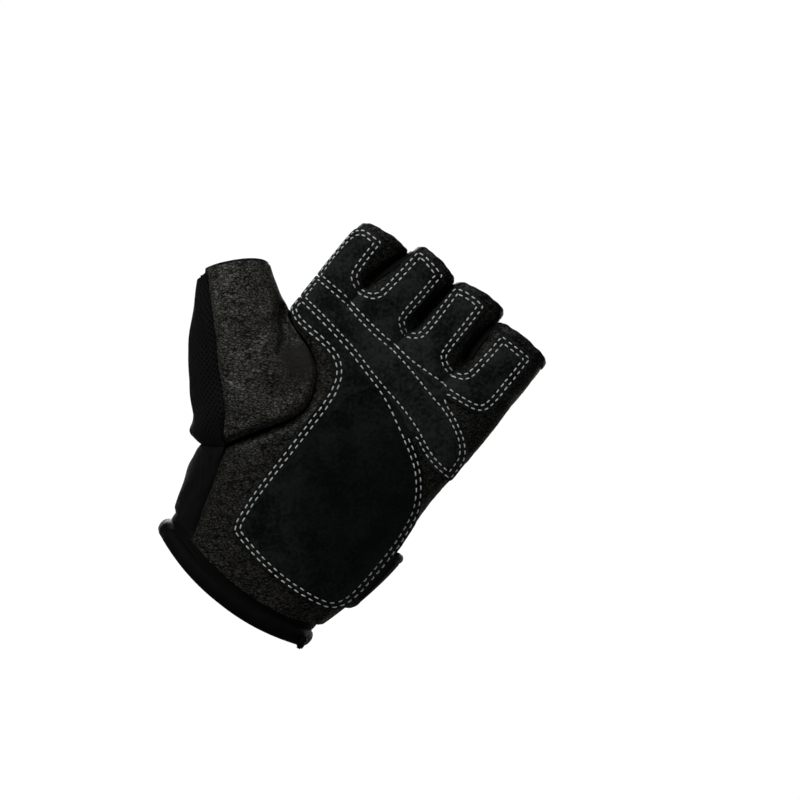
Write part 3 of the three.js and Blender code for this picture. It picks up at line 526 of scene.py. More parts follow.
def glove_panel(side, rows):
    """The palm or back panel with its finger arcs: points, quads, and uvs along the rows."""
    z = np.array(rows)
    x = column_x(side, z)
    heights = np.repeat(z[:, None], x.shape[1], axis=1)
    y = surface_y(side, x, heights)
    if side < 0:
        lowest = binding_height(ring_angle(x[0], z[0])) + BINDING_TOP
        heights = heights + (lowest - z[0]) * (1 - smooth(0, 22, z - z[0]))[:, None]
    main = np.stack([x, y, heights], axis=-1)
    run = runs(main[..., :2], 1)
    run += (x - run)[:, len(COLUMNS) // 2, None]
    points, quads, across = [main.reshape(-1, 3)], [grid_quads(*x.shape)], [run.reshape(-1)]

    def grow(first, strip):
        """Adds rows of points over the panel's top row, from its column first on."""
        count, (rows_up, columns) = sum(map(len, points)), strip.shape[:2]
        root = (len(z) - 1) * len(COLUMNS) + first + np.arange(columns)
        ids = count + np.arange(rows_up * columns).reshape(rows_up, columns)
        quads.append(quads_between(np.concatenate([root[None], ids])))
        points.append(strip.reshape(-1, 3))
        across.append(np.tile(run[-1, first:first + columns], rows_up))

    for i in range(4):
        first = i * (ARC_STEPS + WEB_STEPS)
        degrees = np.array([column[1] for column in COLUMNS[first:first + ARC_STEPS + 1]])
        turned = degrees if side < 0 else 180 - degrees
        share = np.linspace(0, 1, FINGER_ROWS + 1)[1:, None]
        top = lerp(WEB_Z, finger_top(i, turned) - HEM, share)
        grow(first, finger_point(i, np.broadcast_to(turned, top.shape), top))
    for i in range(3):
        first = i * (ARC_STEPS + WEB_STEPS) + ARC_STEPS
        x, y, z_top = main[-1, first:first + WEB_STEPS + 1].T
        up = np.linspace(0, 1, TONGUE["rows"] + 1)[1:, None]
        turned_x = lerp(x, groove_x(i), TONGUE["gather"] * up)
        turned_in = [turned_x, y - side * TONGUE["deep"] * up**2, z_top + TONGUE["tall"] * up]
        grow(first, np.stack(turned_in, axis=-1))
    points, quads = np.concatenate(points), np.concatenate(quads)
    if side > 0:
        quads = quads[:, ::-1]
    return points, quads, np.stack([np.concatenate(across), points[:, 2]], axis=-1)


def is_side_seam(points):
    """Which edge points of a panel lie in seams: all but those at the finger ends and the wrist."""
    y, z = points[:, 1], points[:, 2]
    open_end = z > WEB_Z + 12
    return (~open_end | (np.abs(y) < 0.5)) & (z > 9)


def cut_palm():
    """The leather palm, with its creases. Its edge is rolled in at the seams, and most at the thumb hole."""
    rows = [*np.arange(7, 86, 0.85), *np.arange(86, 96, 0.45), *np.linspace(96, WEB_Z, 32)]
    points, quads, uv = glove_panel(-1, rows)
    seam = seam_distance(points, quads, is_side_seam(points))
    at_thumb = (points[:, 0] < -15) & (points[:, 2] < 90) & (points[:, 2] > 38)
    lift = rolled(seam, np.where(at_thumb, 1.7, 1.1), np.where(at_thumb, 1.5, 1.1)) + folds("palm", points)
    lift += 0.16 * ripples(points, 9, 3) + 0.06 * ripples(points, 3.2, 4)
    return wall("palm_leather_panel", points, quads, LEATHER, uv, lift)


def cut_back():
    """The knitted back, with soft wide ripples."""
    rows = [*np.arange(CUFF_TOP, 88, 0.95), *np.arange(88, 96, 0.6), *np.linspace(96, WEB_Z, 30)]
    points, quads, uv = glove_panel(1, rows)
    lift = rolled(seam_distance(points, quads, is_side_seam(points)), 0.9, 1.0)
    lift += 0.25 * ripples(points, 14, 5)
    return wall("back_mesh_panel", points, quads, MESH, uv, lift)


palm_leather, back_mesh = cut_palm(), cut_back()


# Stretch panel round the wrist
def cuff_grid(rows, columns):
    """The stretch panel's sheet, from the wrist seam in front round the back to the little finger's side."""
    share = np.linspace(1, 0, columns + 1)[None, :]
    up = np.linspace(0, 1, rows + 1)[:, None]
    degrees = lerp(ring_angle(*THUMB_SEAM_FRONT[-1]), 0.0, share)
    low = binding_height(degrees) + BINDING_TOP
    z = np.full_like(degrees, CUFF_TOP)
    (low_x, low_z), (high_x, high_z) = THUMB_CORNER, THUMB_SEAM_FRONT[-1]
    for _ in range(8):  # each step comes nearer to where the slanted edge crosses the ring
        z = lerp(low_z, high_z, (palm_ring(degrees, z)[..., 0] - low_x) / (high_x - low_x))
    z = lerp(low, np.where(degrees > 180, z, CUFF_TOP), up)
    degrees = lerp(ring_angle(wrist_seam_x(z), z), 0.0, share)
    return palm_ring(degrees, z)


def cut_cuff():
    """The stretch panel, with its vertical ripples. One more row at its top is tucked under the back."""
    grid = cuff_grid(38, 170)
    points, quads = grid.reshape(-1, 3), grid_quads(*grid.shape[:2])
    x, y, z = points.T
    uv = np.stack([runs(grid, 1).reshape(-1), z], axis=-1)
    at_pouch = (x < -33) & (z > 33)
    seam = seam_distance(points, quads, z > 9.5)
    lift = rolled(seam, np.where(at_pouch, 0.25, 1.1), 1.1) + folds("cuff", points) * (y < 4)
    lift += 0.35 * ripples(points * [1, 1, 0.45], 8, 6) * smooth(6, 20, z)
    tucked = grid[-1] + 1.8 * (grid[-1] - grid[-2]) / np.linalg.norm(grid[-1] - grid[-2], axis=1)[:, None]
    points = np.concatenate([points, tucked])
    lift = np.concatenate([lift, np.full(len(tucked), -1.1)])
    uv = np.concatenate([uv, uv[-len(tucked):] + [0, 1.8]])
    return wall("wrist_stretch_cuff", points, grid_quads(grid.shape[0] + 1, grid.shape[1]), MESH, uv, lift)


wrist_panel = cut_cuff()


# Thumb
FRONT_LINE = catmull([(p[0], 0, p[1]) for p in THUMB_SEAM_FRONT], 400)
BACK_LINE = catmull([(p[0], 0, p[1]) for p in THUMB_SEAM_BACK], 400)


def on_seam(line, share):
    """The x and z of a seam's line at shares of its length."""
    return np.stack([np.interp(share, np.linspace(0, 1, len(line)), line[:, k]) for k in (0, 2)], axis=-1)


def thumb_loop(degrees):
    """Where the thumb's tube leaves the palm: down the front seam, along the corner, and up the back seam."""
    turned = np.mod(degrees + 360, 360)
    ends = np.array([THUMB_SEAM_FRONT[-1], THUMB_CORNER], float)
    on_front = on_seam(FRONT_LINE, turned / SEAM_AT_BASE)
    t = np.clip((turned - SEAM_AT_BASE) / (180 - SEAM_AT_BASE), 0, 1)[:, None]
    on_back = on_seam(BACK_LINE, (turned - 180) / 180)
    flat = np.where((turned <= SEAM_AT_BASE)[:, None], on_front, lerp(ends[0], ends[1], t))
    flat = np.where((turned > 180)[:, None], on_back, flat)
    y = np.where(turned <= 180, surface_y(-1, flat[:, 0], flat[:, 1]), surface_y(1, flat[:, 0], flat[:, 1]))
    return np.stack([flat[:, 0], y, flat[:, 1]], axis=-1)


def thumb_section(section, degrees, out=0.0):
    """Points round the thumb: 0 degrees is its inner side, 90 its front and 180 its outer side."""
    along, across = superellipse(degrees, THUMB_POWER)
    outer, inner = np.array([section["outX"], section["outZ"]]), np.array([section["inX"], section["inZ"]])
    middle, half = (outer + inner) / 2, (inner - outer) / 2
    half = half * (1 + out / np.linalg.norm(half))
    ahead = np.array([outer[1] - inner[1], inner[0] - outer[0]])
    ahead = ahead / np.linalg.norm(ahead)
    bowed = section["bow"] * np.where(across > 0, across, across / 3)
    flat = middle + along[:, None] * half + bowed[:, None] * ahead
    y = section["y"] - across * (np.where(across > 0, section["front"], section["back"]) + out)
    return np.stack([flat[:, 0], y, flat[:, 1]], axis=-1)


THUMB_STEPS = 241
THUMB_DEGREES = np.arange(-30, 391, 1.0)


def thumb_tube():
    """The thumb's surface as a table of points, with one line along it for each degree."""
    base = thumb_loop(THUMB_DEGREES)
    rest = [thumb_section(section, THUMB_DEGREES) for section in THUMB_SECTIONS]
    along, across = superellipse(THUMB_DEGREES, 2)
    ball = (base + rest[0]) / 2
    ball[:, 1] -= THUMB_BULGE * np.maximum(0, across)
    slack = np.maximum(0, -along) ** 4
    ball[:, 0] += THUMB_POUCH[0] * slack
    ball[:, 2] += THUMB_POUCH[1] * slack
    return catmull(np.stack([base, ball, *rest], axis=1), THUMB_STEPS)


THUMB_TUBE = thumb_tube()
THUMB_LENGTHS = np.linalg.norm(np.diff(THUMB_TUBE, axis=1), axis=-1).sum(axis=1)


def thumb_point(degrees, share):
    """Points of the thumb's tube, read between the lines of its table."""
    a = np.clip(degrees - THUMB_DEGREES[0], 0, len(THUMB_DEGREES) - 1.001)
    b = np.clip(share, 0, 1) * (THUMB_STEPS - 1.001)
    i, j = a.astype(int), b.astype(int)
    f, g = (a - i)[..., None], (b - j)[..., None]
    near = lerp(THUMB_TUBE[i, j], THUMB_TUBE[i, j + 1], g)
    return lerp(near, lerp(THUMB_TUBE[i + 1, j], THUMB_TUBE[i + 1, j + 1], g), f)


# Where the seam between the thumb's leather and mesh runs, as angles from the base to the end
THUMB_SEAM_TURNS = [118, 114, 111.5, 111, 112.5, 122.5, 137.5]


def thumb_seam_angle(share):
    """The angle of the seam between the thumb's leather and mesh, at shares of its length."""
    return hermite(np.linspace(0, 1, len(THUMB_SEAM_TURNS)), THUMB_SEAM_TURNS, share)


def thumb_wrap_angle(share):
    """Where the other edge of the leather runs, behind the thumb's inner side."""
    return THUMB_WRAP + 0 * share


def thumb_panel(start, end, top, rows, columns):
    """A panel of the thumb between two seams, given as angles for every share of its length. top says how
    far below the thumb's end it stops."""
    across = np.linspace(0, 1, columns + 1)[None, :]
    share = np.linspace(0, 1, rows + 1)[:, None]
    degrees = lerp(end(share), start(share), across)
    length = np.interp(degrees, THUMB_DEGREES, THUMB_LENGTHS)
    share = share * (1 - top(degrees) / length)
    grid = thumb_point(degrees, share)
    uv = np.stack([-np.radians(degrees) * THUMB_RADIUS, share * length], axis=-1)
    spot = {"degrees": degrees, "share": share, "from_base": share * length}
    spot = {key: values.reshape(-1) for key, values in spot.items()}
    return grid.reshape(-1, 3), grid_quads(*grid.shape[:2]), uv.reshape(-1, 2), spot


def thumb_edge(degrees):
    """How far below the thumb's end its leather stops: highest at the seam with the mesh."""
    return 0.5 - 0.45 * smooth(100, 138, degrees)


def cut_thumb_leather():
    """The thumb's leather front, with its creases and the roll along its base."""
    points, quads, uv, spot = thumb_panel(thumb_wrap_angle, thumb_seam_angle, thumb_edge, 100, 110)
    seam = seam_distance(points, quads, spot["share"] < 0.97)
    lift = rolled(seam, 1.0, 1.1) + folds("thumb", points) * (points[:, 1] < -6) * smooth(0.6, 3.5, seam)
    low_side = smooth(35, 85, spot["degrees"])
    lift += rolled(spot["from_base"], 2.6 * low_side, 1.3 + 0.9 * smooth(70, 118, spot["degrees"]))
    lift += 1.5 * low_side * np.exp(-(((spot["from_base"] - 4.5) / 2.8) ** 2))
    lift += 0.3 * ripples(points, 11, 7) + 0.1 * ripples(points, 4, 8)
    length = np.interp(spot["degrees"], THUMB_DEGREES, THUMB_LENGTHS)
    lift -= 0.35 * smooth(1.2, 0, (1 - spot["share"]) * length)
    return wall("thumb_leather_panel", points, quads, LEATHER, uv, lift)


def cut_thumb_mesh():
    """The thumb's knitted outer side and back, with a ridge beside its seam and a slight bulge."""
    points, quads, uv, spot = thumb_panel(
        thumb_seam_angle, lambda s: 360 + thumb_wrap_angle(s), lambda d: THUMB_HEM + 0.3 + 0 * d, 80, 110)
    seam = seam_distance(points, quads, spot["share"] < 0.97)
    at_pouch = (spot["from_base"] < 2) & (points[:, 1] < 6)
    lift = rolled(seam, np.where(at_pouch, 0.3, 0.9), 1.0)
    lift += 0.3 * ripples(points, 11, 9)
    upper = smooth(0.3, 0.6, spot["share"]) * (points[:, 1] < 6)
    lift += upper * (0.5 * np.exp(-(((seam - 2.3) / 0.8) ** 2)) - 0.35 * np.exp(-(((seam - 3.7) / 0.5) ** 2)))
    swelling = np.sin(math.pi * np.clip(spot["share"], 0, 1)) ** 0.5
    lift += 0.7 * smooth(3, 8, seam) * swelling * (points[:, 1] < 6)
    return wall("thumb_mesh_panel", points, quads, MESH, uv, lift)


thumb_leather, thumb_mesh = cut_thumb_leather(), cut_thumb_mesh()


# Fourchettes between the fingers
def fourchette(i):
    """The strip down one finger and up the next, creased down its middle, with both edges tucked under."""
    rows, columns = 16, 14
    across = np.linspace(180 - FINGER_SEAM, FINGER_SEAM, columns + 1)
    share = np.linspace(1, 0, rows + 1)[:, None]
    low = WEB_Z + FOURCHETTE
    creased = np.where(across == 90, 0, 0.35 * np.sin(np.radians(3 * (across - 60))) ** 2)
    full = 0.42 * np.sin(np.radians(across)) ** 6 + creased + 0 * share
    down_z = lerp(low, finger_top(i, across) - HEM, share)
    up_z = lerp(low, finger_top(i + 1, -across) - HEM, share[::-1])
    down = finger_point(i, across + 0 * share, down_z, full)
    up = finger_point(i + 1, -across + 0 * share, up_z, full)
    depth = lerp(WEB_HALF, -WEB_HALF, np.linspace(0, 1, columns + 1))
    web = np.stack([np.full(columns + 1, groove_x(i)), depth, np.full(columns + 1, low - 0.4)], axis=-1)
    grid = np.concatenate([down, web[None], up])
    run = runs(grid[:, columns // 2])
    uv = np.stack(np.broadcast_arrays(np.arange(columns + 1.0)[None, :], run[:, None]), axis=-1)
    name = f"fourchette_{FINGERS[i]['name']}_{FINGERS[i + 1]['name']}_strip"
    from_edge = columns / 2 - np.abs(np.arange(columns + 1) - columns / 2)
    lift = np.tile(-0.7 * np.exp(-from_edge**2), len(grid))
    return wall(name, grid.reshape(-1, 3), grid_quads(*grid.shape[:2]), FOURCHETTE, uv.reshape(-1, 2), lift)


fourchettes = [fourchette(i) for i in range(3)]


# Rings: finger hems, thumb hem and binding
def ring_mesh(name, sections):
    """A closed ring from an array of section points (step round, section point, axis)."""
    steps, size = sections.shape[:2]
    i, k = np.meshgrid(np.arange(steps), np.arange(size), indexing="ij")
    after, beside = (i + 1) % steps, (k + 1) % size
    corners = [i * size + k, after * size + k, after * size + beside, i * size + beside]
    faces = np.stack(corners, axis=-1).reshape(-1, 4)
    run = np.linalg.norm(np.diff(sections[:, 0], axis=0, append=sections[:1, 0]), axis=-1).cumsum()
    drop = np.linalg.norm(np.diff(sections[0], axis=0, prepend=sections[0, :1]), axis=-1).cumsum()
    uv = np.stack(np.broadcast_arrays(run[:, None], drop[None, :]), axis=-1)
    return make(name, sections.reshape(-1, 3), faces, uv.reshape(-1, 2), 70)


# Sections of the hems, from the outside over the top to the inside (up, out)
HEM_SECTION = [
    (-HEM - 0.9, -1.0), (-HEM, -0.4), (-3.0, 0.0), (-2.1, 0.08), (-1.1, 0.02), (-0.45, -0.1), (-0.1, -0.4),
    (0, -0.8), (-0.1, -1.2), (-0.5, -1.5), (-1.4, -1.62), (-HEM - 0.9, -1.62),
]
THUMB_HEM_SECTION = [
    (0.25, -0.9), (0.2, -0.45), (-0.1, -0.15), (-0.5, -0.1), (-0.9, -0.35), (-THUMB_HEM - 0.8, -0.5),
    (-THUMB_HEM - 0.8, -1.4), (-0.5, -1.5), (-0.1, -1.3),
]


def finger_hem(i):
    """The turned end of one finger, a little uneven, and standing out more at its two sides."""
    degrees = np.arange(0, 360, 3.0)
    wobble = 0.12 * np.sin(np.radians(degrees * 7 + 40 * i)) + 0.08 * np.sin(np.radians(degrees * 13))
    top = finger_top(i, degrees) + wobble
    pressed = 0.3 * np.abs(np.sin(np.radians(degrees))) ** 4
    rows = [finger_point(i, degrees, top + up, out + pressed) for up, out in HEM_SECTION]
    return ring_mesh(f"finger_hem_{FINGERS[i]['name']}_turned", np.stack(rows, axis=1))


def turned_thumb_hem():
    """The thumb's hem, which lies lower on the mesh than on the leather."""
    last = THUMB_SECTIONS[-1]
    axis = np.array([last["outZ"] - last["inZ"], 0, last["inX"] - last["outX"]])
    axis = axis / np.linalg.norm(axis)
    degrees = np.arange(0, 360, 3.0)
    lower = 1.5 * smooth(138, 142, degrees) * smooth(338, 334, degrees)
    rows = [thumb_section(last, degrees, out) + axis * (up - lower[:, None]) for up, out in THUMB_HEM_SECTION]
    return ring_mesh("thumb_hem_turned", np.stack(rows, axis=1))


finger_hems = [finger_hem(i) for i in range(4)]
thumb_hem = turned_thumb_hem()

# Section of the roll and the flat lip that meets the panels (out, up)
BINDING_SECTION = [
    (-1.7, -2.6), (-0.9, -3.05), (0.0, -3.25), (0.75, -2.95), (1.35, -2.2), (1.62, -1.2), (1.7, -0.1),
    (1.55, 1.0), (1.1, 2.0), (0.5, 2.7), (-0.15, 3.05), (-0.5, 3.35), (-0.42, 3.9), (-0.3, 5.0),
    (-0.3, BINDING_TOP + 0.3), (-1.3, BINDING_TOP + 0.3), (-1.35, 3.4), (-1.9, 2.6), (-2.45, 1.4),
    (-2.6, 0), (-2.4, -1.5),
]


def rolled_binding():
    """The wrist's elastic edge, which puckers a little on its outer side."""
    degrees = np.arange(0, 360, 1.0)
    height = binding_height(degrees)
    pucker = 0.11 * np.sin(np.radians(degrees * 26)) + 0.07 * np.sin(np.radians(degrees * 11 + 50))
    rows = []
    for out, up in BINDING_SECTION:
        row = palm_ring(degrees, height, out + pucker * (out > 0))
        row[:, 2] = height + up
        rows.append(row)
    return ring_mesh("wrist_binding_rolled", np.stack(rows, axis=1))


binding = rolled_binding()


# The sewn end of the binding
def rounded_box(name, size, radius, at, turn):
    """A soft-edged block: size in mm, turned about Z by degrees and set with its middle at a point."""
    mesh = bpy.data.meshes.new(name)
    item = bpy.data.objects.new(name, mesh)
    bpy.context.scene.collection.objects.link(item)
    bm = bmesh.new()
    bmesh.ops.create_cube(bm, size=1)
    bmesh.ops.scale(bm, vec=Vector(size) * 0.001, verts=bm.verts)
    bmesh.ops.bevel(bm, geom=bm.edges[:] + bm.verts[:], offset=radius * 0.001, segments=5, affect="EDGES")
    bmesh.ops.rotate(bm, cent=(0, 0, 0), matrix=Matrix.Rotation(math.radians(turn), 3, "Z"), verts=bm.verts)
    bmesh.ops.translate(bm, vec=Vector(at) * 0.001, verts=bm.verts)
    bm.to_mesh(mesh)
    bm.free()
    mesh.shade_smooth()
    return item


TAPE = {"wide": 3.4, "thick": 1.8, "tall": 5.2, "rounded": 0.6, "low": -0.3, "degrees": 334, "turn": 62}


def sewn_tape():
    """The tape over the binding's end, which lies on the roll."""
    x, y, _ = palm_ring(TAPE["degrees"], 2.0, 2.2 + TAPE["thick"] / 2)
    size = (TAPE["wide"], TAPE["thick"], TAPE["tall"])
    middle = (x, y, TAPE["low"] + TAPE["tall"] / 2)
    return rounded_box("binding_end_tape", size, TAPE["rounded"], middle, TAPE["turn"])


tape = sewn_tape()


# Wrist strap
STRAP = table("degrees low high lowOut highOut", [
    (-14, 28, 47, 0.7, 0.7),
    (0, 24, 50, 0.5, 1.9),
    (16, 21, 49, 0.6, 1.2),
    (60, 17, 43, 0.8, 0.8),
    (110, 14, 38, 0.8, 0.8),
    (136, 14, 35.5, 0.8, 0.8),
    (144, 17.5, 32, 0.8, 0.8),
])
STRAP_THICK = 1.8


def strap_point(degrees, share, out):
    """Points of the strap's sheet, at shares of its height."""
    columns = ("low", "high", "lowOut", "highOut")
    low, high, low_out, high_out = (read(STRAP, "degrees", degrees, column) for column in columns)
    return palm_ring(degrees, lerp(low, high, share), lerp(low_out, high_out, share) + out)


def strap_mesh():
    """The strap as a thick woven band, sewn round its border and rounded at its edges."""
    rows, columns = 40, 150
    degrees = np.linspace(STRAP[0]["degrees"], STRAP[-1]["degrees"], columns + 1)
    share = np.linspace(0, 1, rows + 1)
    d, s = np.meshgrid(degrees, share)
    grid = strap_point(d, s, 0.0)
    points, quads = grid.reshape(-1, 3), grid_quads(*grid.shape[:2])
    run, tall = runs(grid, 1), runs(grid, 0)
    uv = np.stack([run.reshape(-1), tall.reshape(-1)], axis=-1)
    edge = np.minimum.reduce([run, run[:, -1:] - run, tall, tall[-1:] - tall]).reshape(-1)
    lift = STRAP_THICK - 0.9 * np.exp(-((edge / 0.5) ** 2)) - 0.3 * np.exp(-(((edge - 2.6) / 0.5) ** 2))
    lift += 0.15 * smooth(0.6, 1.4, edge) * (1 - smooth(1.8, 2.5, edge))
    return wall("wrist_strap_woven", points, quads, STRAP_THICK - 0.25, uv, lift)


strap = strap_mesh()


# Suede patches. Their sheets are laid out flat: u runs across the palm in x, and on round the index
# finger's side as far as the leather does, and z runs up.
BEND_X = -36.0
SUEDE_END = 3.2  # how far in front of the glove's middle plane the suede ends at that side
SIDE_STEP, RUN_STEP = 0.5, 0.125
SIDE_Z = np.arange(86, 146, SIDE_STEP)
SIDE_RUN = np.arange(193) * RUN_STEP


def side_table():
    """For each height, the x and y of the surface at each run round the index finger's side."""
    xs, ys, ends = [], [], []
    for z in SIDE_Z:
        if z <= WEB_Z:
            middle, half = palm_section(z)[:2]
        else:
            middle, half = finger_section(0, z)[:2]
        left = float(middle - half)
        x = left + (BEND_X - left) * (1 - np.sin(np.linspace(0, math.pi / 2, 260)))
        y = surface_y(-1, np.maximum(x, left + 1e-6), z)
        run = np.concatenate([[0], np.hypot(np.diff(x), np.diff(y)).cumsum()])
        xs.append(np.interp(SIDE_RUN, run, x))
        ys.append(np.interp(SIDE_RUN, run, y))
        ends.append(np.interp(SUEDE_END, -y[::-1], run[::-1]))
    return np.array(xs), np.array(ys), np.array(ends)


SIDE_X, SIDE_Y, SIDE_END = side_table()


def suede_base(flat):
    """The points of the palm's surface under points (u, z) of a patch's flat sheet."""
    u, z = flat[:, 0], flat[:, 1]
    x, y = u.copy(), surface_y(-1, np.maximum(u, BEND_X), z)
    side = u < BEND_X
    if side.any():
        a = np.clip((z[side] - SIDE_Z[0]) / SIDE_STEP, 0, len(SIDE_Z) - 1.001)
        b = np.clip((BEND_X - u[side]) / RUN_STEP, 0, len(SIDE_RUN) - 1.001)
        i, j = a.astype(int), b.astype(int)
        f, g = a - i, b - j
        for known, target in ((SIDE_X, x), (SIDE_Y, y)):
            here = lerp(known[i, j], known[i + 1, j], f)
            target[side] = lerp(here, lerp(known[i, j + 1], known[i + 1, j + 1], f), g)
    return np.stack([x, y, z], axis=-1)


def suede_normals(flat):
    """The directions in which the palm's surface faces under points of a flat sheet."""
    step = 0.25
    across = suede_base(flat + [step, 0]) - suede_base(flat - [step, 0])
    up = suede_base(flat + [0, step]) - suede_base(flat - [0, step])
    n = np.cross(across, up)
    return n / np.linalg.norm(n, axis=1)[:, None]


def flat_u(x, z):
    """The run u of a point x of the surface. Past the silhouette it ends just short of the side seam."""
    if x >= BEND_X:
        return x
    i = int(np.clip(round((z - SIDE_Z[0]) / SIDE_STEP), 0, len(SIDE_Z) - 1))
    return BEND_X - min(SIDE_END[i], float(np.interp(-x, -SIDE_X[i], SIDE_RUN)))


def smooth_line(points, steps=12):
    """A smooth line through points, as a list."""
    return [tuple(p) for p in catmull(points, steps)]


def lifted(line, by):
    """A line (x, z), moved up."""
    return [(x, z + by) for x, z in line]


def channel(left_top, left, right, bottom, right_top):
    """A round-bottomed cut between two fingers, from its left top to its right top."""
    middle = ((left[0] + right[0]) / 2, bottom)
    bend_in, bend_out = (left[0] + 1.2, bottom + 1.3), (right[0] - 1.2, bottom + 1.3)
    return smooth_line([left_top, left, bend_in, middle, bend_out, right, right_top], 40)


SEAM_STEPS = 40
# Each patch's outline in stretches (x, z). A seam is shared with the next patch, a side goes round the index
# finger's side, and a corner leads from a side to an edge.
OUTLINES = {
    "suede_fingers": [
        ("seam", lifted(smooth_line(UPPER_SEAM, SEAM_STEPS), 0.15)[::-1]),
        ("side", [(-50, 113.5), (-50, 122), (-50, 127)]),
        ("corner", [(-50, 129), (-47.2, 132.4), (-46.2, 134.6), (-44.9, 136.2), (-43.2, 137.1)]),
        ("edge", [(-42, 137.2), (-36.2, 137.3)]),
        ("edge", channel((-35.2, 136.2), (-35.3, 123.5), (-25.6, 124.5), 119.3, (-23.8, 141.6))),
        ("edge", [(-22.4, 143.4), (-19.5, 143.7), (-14.5, 142.8), (-10.8, 141.9)]),
        ("edge", channel((-10.2, 140.9), (-11.3, 121.5), (-4.6, 121.5), 117.0, (-4.7, 139.6))),
        ("edge", [(-3.8, 141.4), (0, 142.6), (4, 143.0), (8.4, 142.5)]),
        ("edge", channel((9.2, 141.2), (9.3, 121), (18.8, 121.5), 116.4, (19.6, 137))),
        ("edge", [(20.6, 138.1), (33, 138.2), (34.4, 136.8)]),
        ("edge", smooth_line([
            (34.5, 130), (34.3, 117), (33.2, 111.6), (30, 108.7), (24.5, 107.3), (18.5, 106.2),
        ], 30)),
    ],
    "suede_middle": [
        ("seam", lifted(smooth_line(LOWER_SEAM, SEAM_STEPS), 0.15)),
        ("edge", smooth_line([
            (18.5, 87.0), (23, 84.9), (28, 83.3), (33, 82.6), (37.6, 82.8), (38.6, 84.4), (38.6, 90.5),
        ], 30)),
        ("edge", smooth_line([(38.2, 93), (36, 96.8), (32, 100.2), (26, 103.4), (20.5, 105.4)], 20)),
        ("seam", lifted(smooth_line(UPPER_SEAM, SEAM_STEPS), -0.15)[::-1]),
        ("side", [(-50, 111), (-50, 103.6)]),
    ],
    "suede_heel_pad": [
        ("side", [(-50, 101), (-50, 99)]),
        ("edge", smooth_line([
            (-50, 98), (-46.8, 96.2), (-44.8, 94.2), (-42, 93), (-36, 92.4), (-30, 92.2), (-24.5, 91.2),
            (-21.3, 89.3), (-18.9, 86), (-17.3, 81),
        ], 40)),
        ("edge", smooth_line([(-16.6, 74), (-16.3, 60), (-16.1, 45), (-15.7, 34), (-14.4, 22.6)], 24)),
        ("edge", smooth_line([
            (-12.4, 18.8), (-4, 16.8), (8, 15.3), (20, 15.5), (29.3, 16.9), (34, 19), (37, 23), (38.6, 29),
            (39.2, 37), (39.4, 45),
        ], 50)),
        ("edge", smooth_line([
            (39.2, 53), (38.2, 61), (36.8, 67), (33.2, 74), (28, 80), (22, 84.4), (17.5, 86.9),
        ], 30)),
        ("seam", lifted(smooth_line(LOWER_SEAM, SEAM_STEPS), -0.15)[::-1]),
    ],
}
ROW_OFFSETS = (1.3, 3.0)  # how far the two rows of stitches run inside a patch's own edge
SIDE_OFFSETS = (2.4, 4.9)  # and inside the edge that goes round the index finger's side
SHARED_OFFSET = 0.85  # and inside a seam that two patches share, where there is one row a side
STITCH_PITCH = {"suede_fingers": 2.5, "suede_middle": 2.45, "suede_heel_pad": 2.95}
STITCH_SHARE = 0.58  # how much of that a stitch covers
LINE_STEP = 0.15  # how far apart the points of outlines and rows of stitches are
NO_ROW = 0.3  # an offset below this has no row of stitches


def flat_outline(name):
    """A patch's outline on its flat sheet, with the offsets of its two rows of stitches at every point."""
    corners, offsets = [], []
    for kind, line in OUTLINES[name]:
        for k, (x, z) in enumerate(line):
            corners.append((flat_u(x, z), z))
            if kind == "seam":
                offsets.append((0.0, lerp(SHARED_OFFSET, ROW_OFFSETS[1], smooth(-5, 19, x))))
            elif kind == "corner":
                offsets.append([lerp(a, b, k / (len(line) - 1)) for a, b in zip(SIDE_OFFSETS, ROW_OFFSETS)])
            else:
                offsets.append(ROW_OFFSETS if kind == "edge" else SIDE_OFFSETS)
    corners, offsets = np.array(corners + corners[:1]), np.array(offsets + offsets[:1])
    run = runs(corners)
    at = np.linspace(0, run[-1], int(run[-1] / LINE_STEP))[:-1]
    line = np.stack([np.interp(at, run, corners[:, k]) for k in (0, 1)], axis=-1)
    line = softened(line, 5, True)
    return line, np.stack([np.interp(at, run, offsets[:, k]) for k in (0, 1)], axis=-1)


def softened(line, times, closed):
    """A line with its corners rounded off."""
    for _ in range(times):
        if closed:
            line = (np.roll(line, 1, axis=0) + 2 * line + np.roll(line, -1, axis=0)) / 4
        else:
            line = np.concatenate([line[:1], (line[:-2] + 2 * line[1:-1] + line[2:]) / 4, line[-1:]])
    return line


def stitch_lines(line, offsets):
    """The rows of stitches inside an outline, whichever way round it runs."""
    area = 0.5 * np.sum(line[:, 0] * np.roll(line[:, 1], -1) - np.roll(line[:, 0], -1) * line[:, 1])
    way = np.roll(line, -3, axis=0) - np.roll(line, 3, axis=0)
    inward = np.stack([-way[:, 1], way[:, 0]], axis=-1) * np.sign(area)
    inward /= np.linalg.norm(inward, axis=1)[:, None]
    round_side = line[offsets[:, 0] > 2]
    rows = []
    for k in (0, 1):
        wanted = offsets[:, k]
        spots = line + inward * wanted[:, None]
        distance, who = nearest(spots, line)
        least = np.minimum(wanted, np.maximum(offsets[who, k], NO_ROW))
        good = (wanted > NO_ROW) & (distance > 0.97 * least - 0.02)
        if len(round_side):
            good &= nearest(spots, round_side)[0] > 0.97 * SIDE_OFFSETS[k]
        gap = wanted < NO_ROW
        start = int(np.argmax(gap)) if gap.any() else 0
        order = np.roll(np.arange(len(line)), -start)
        run = []
        for index in order:
            if good[index]:
                run.append(spots[index])
            elif gap[index] and len(run) > 12:
                rows.append((np.array(run), False))
                run = []
        if len(run) > 12:
            rows.append((np.array(run), not gap.any()))
    made = []
    for row, closed in rows:
        if closed:
            row = np.concatenate([row, row[:1]])
        made.append(softened(even(row, int(length_of(row) / LINE_STEP)), 6, False))
    return made


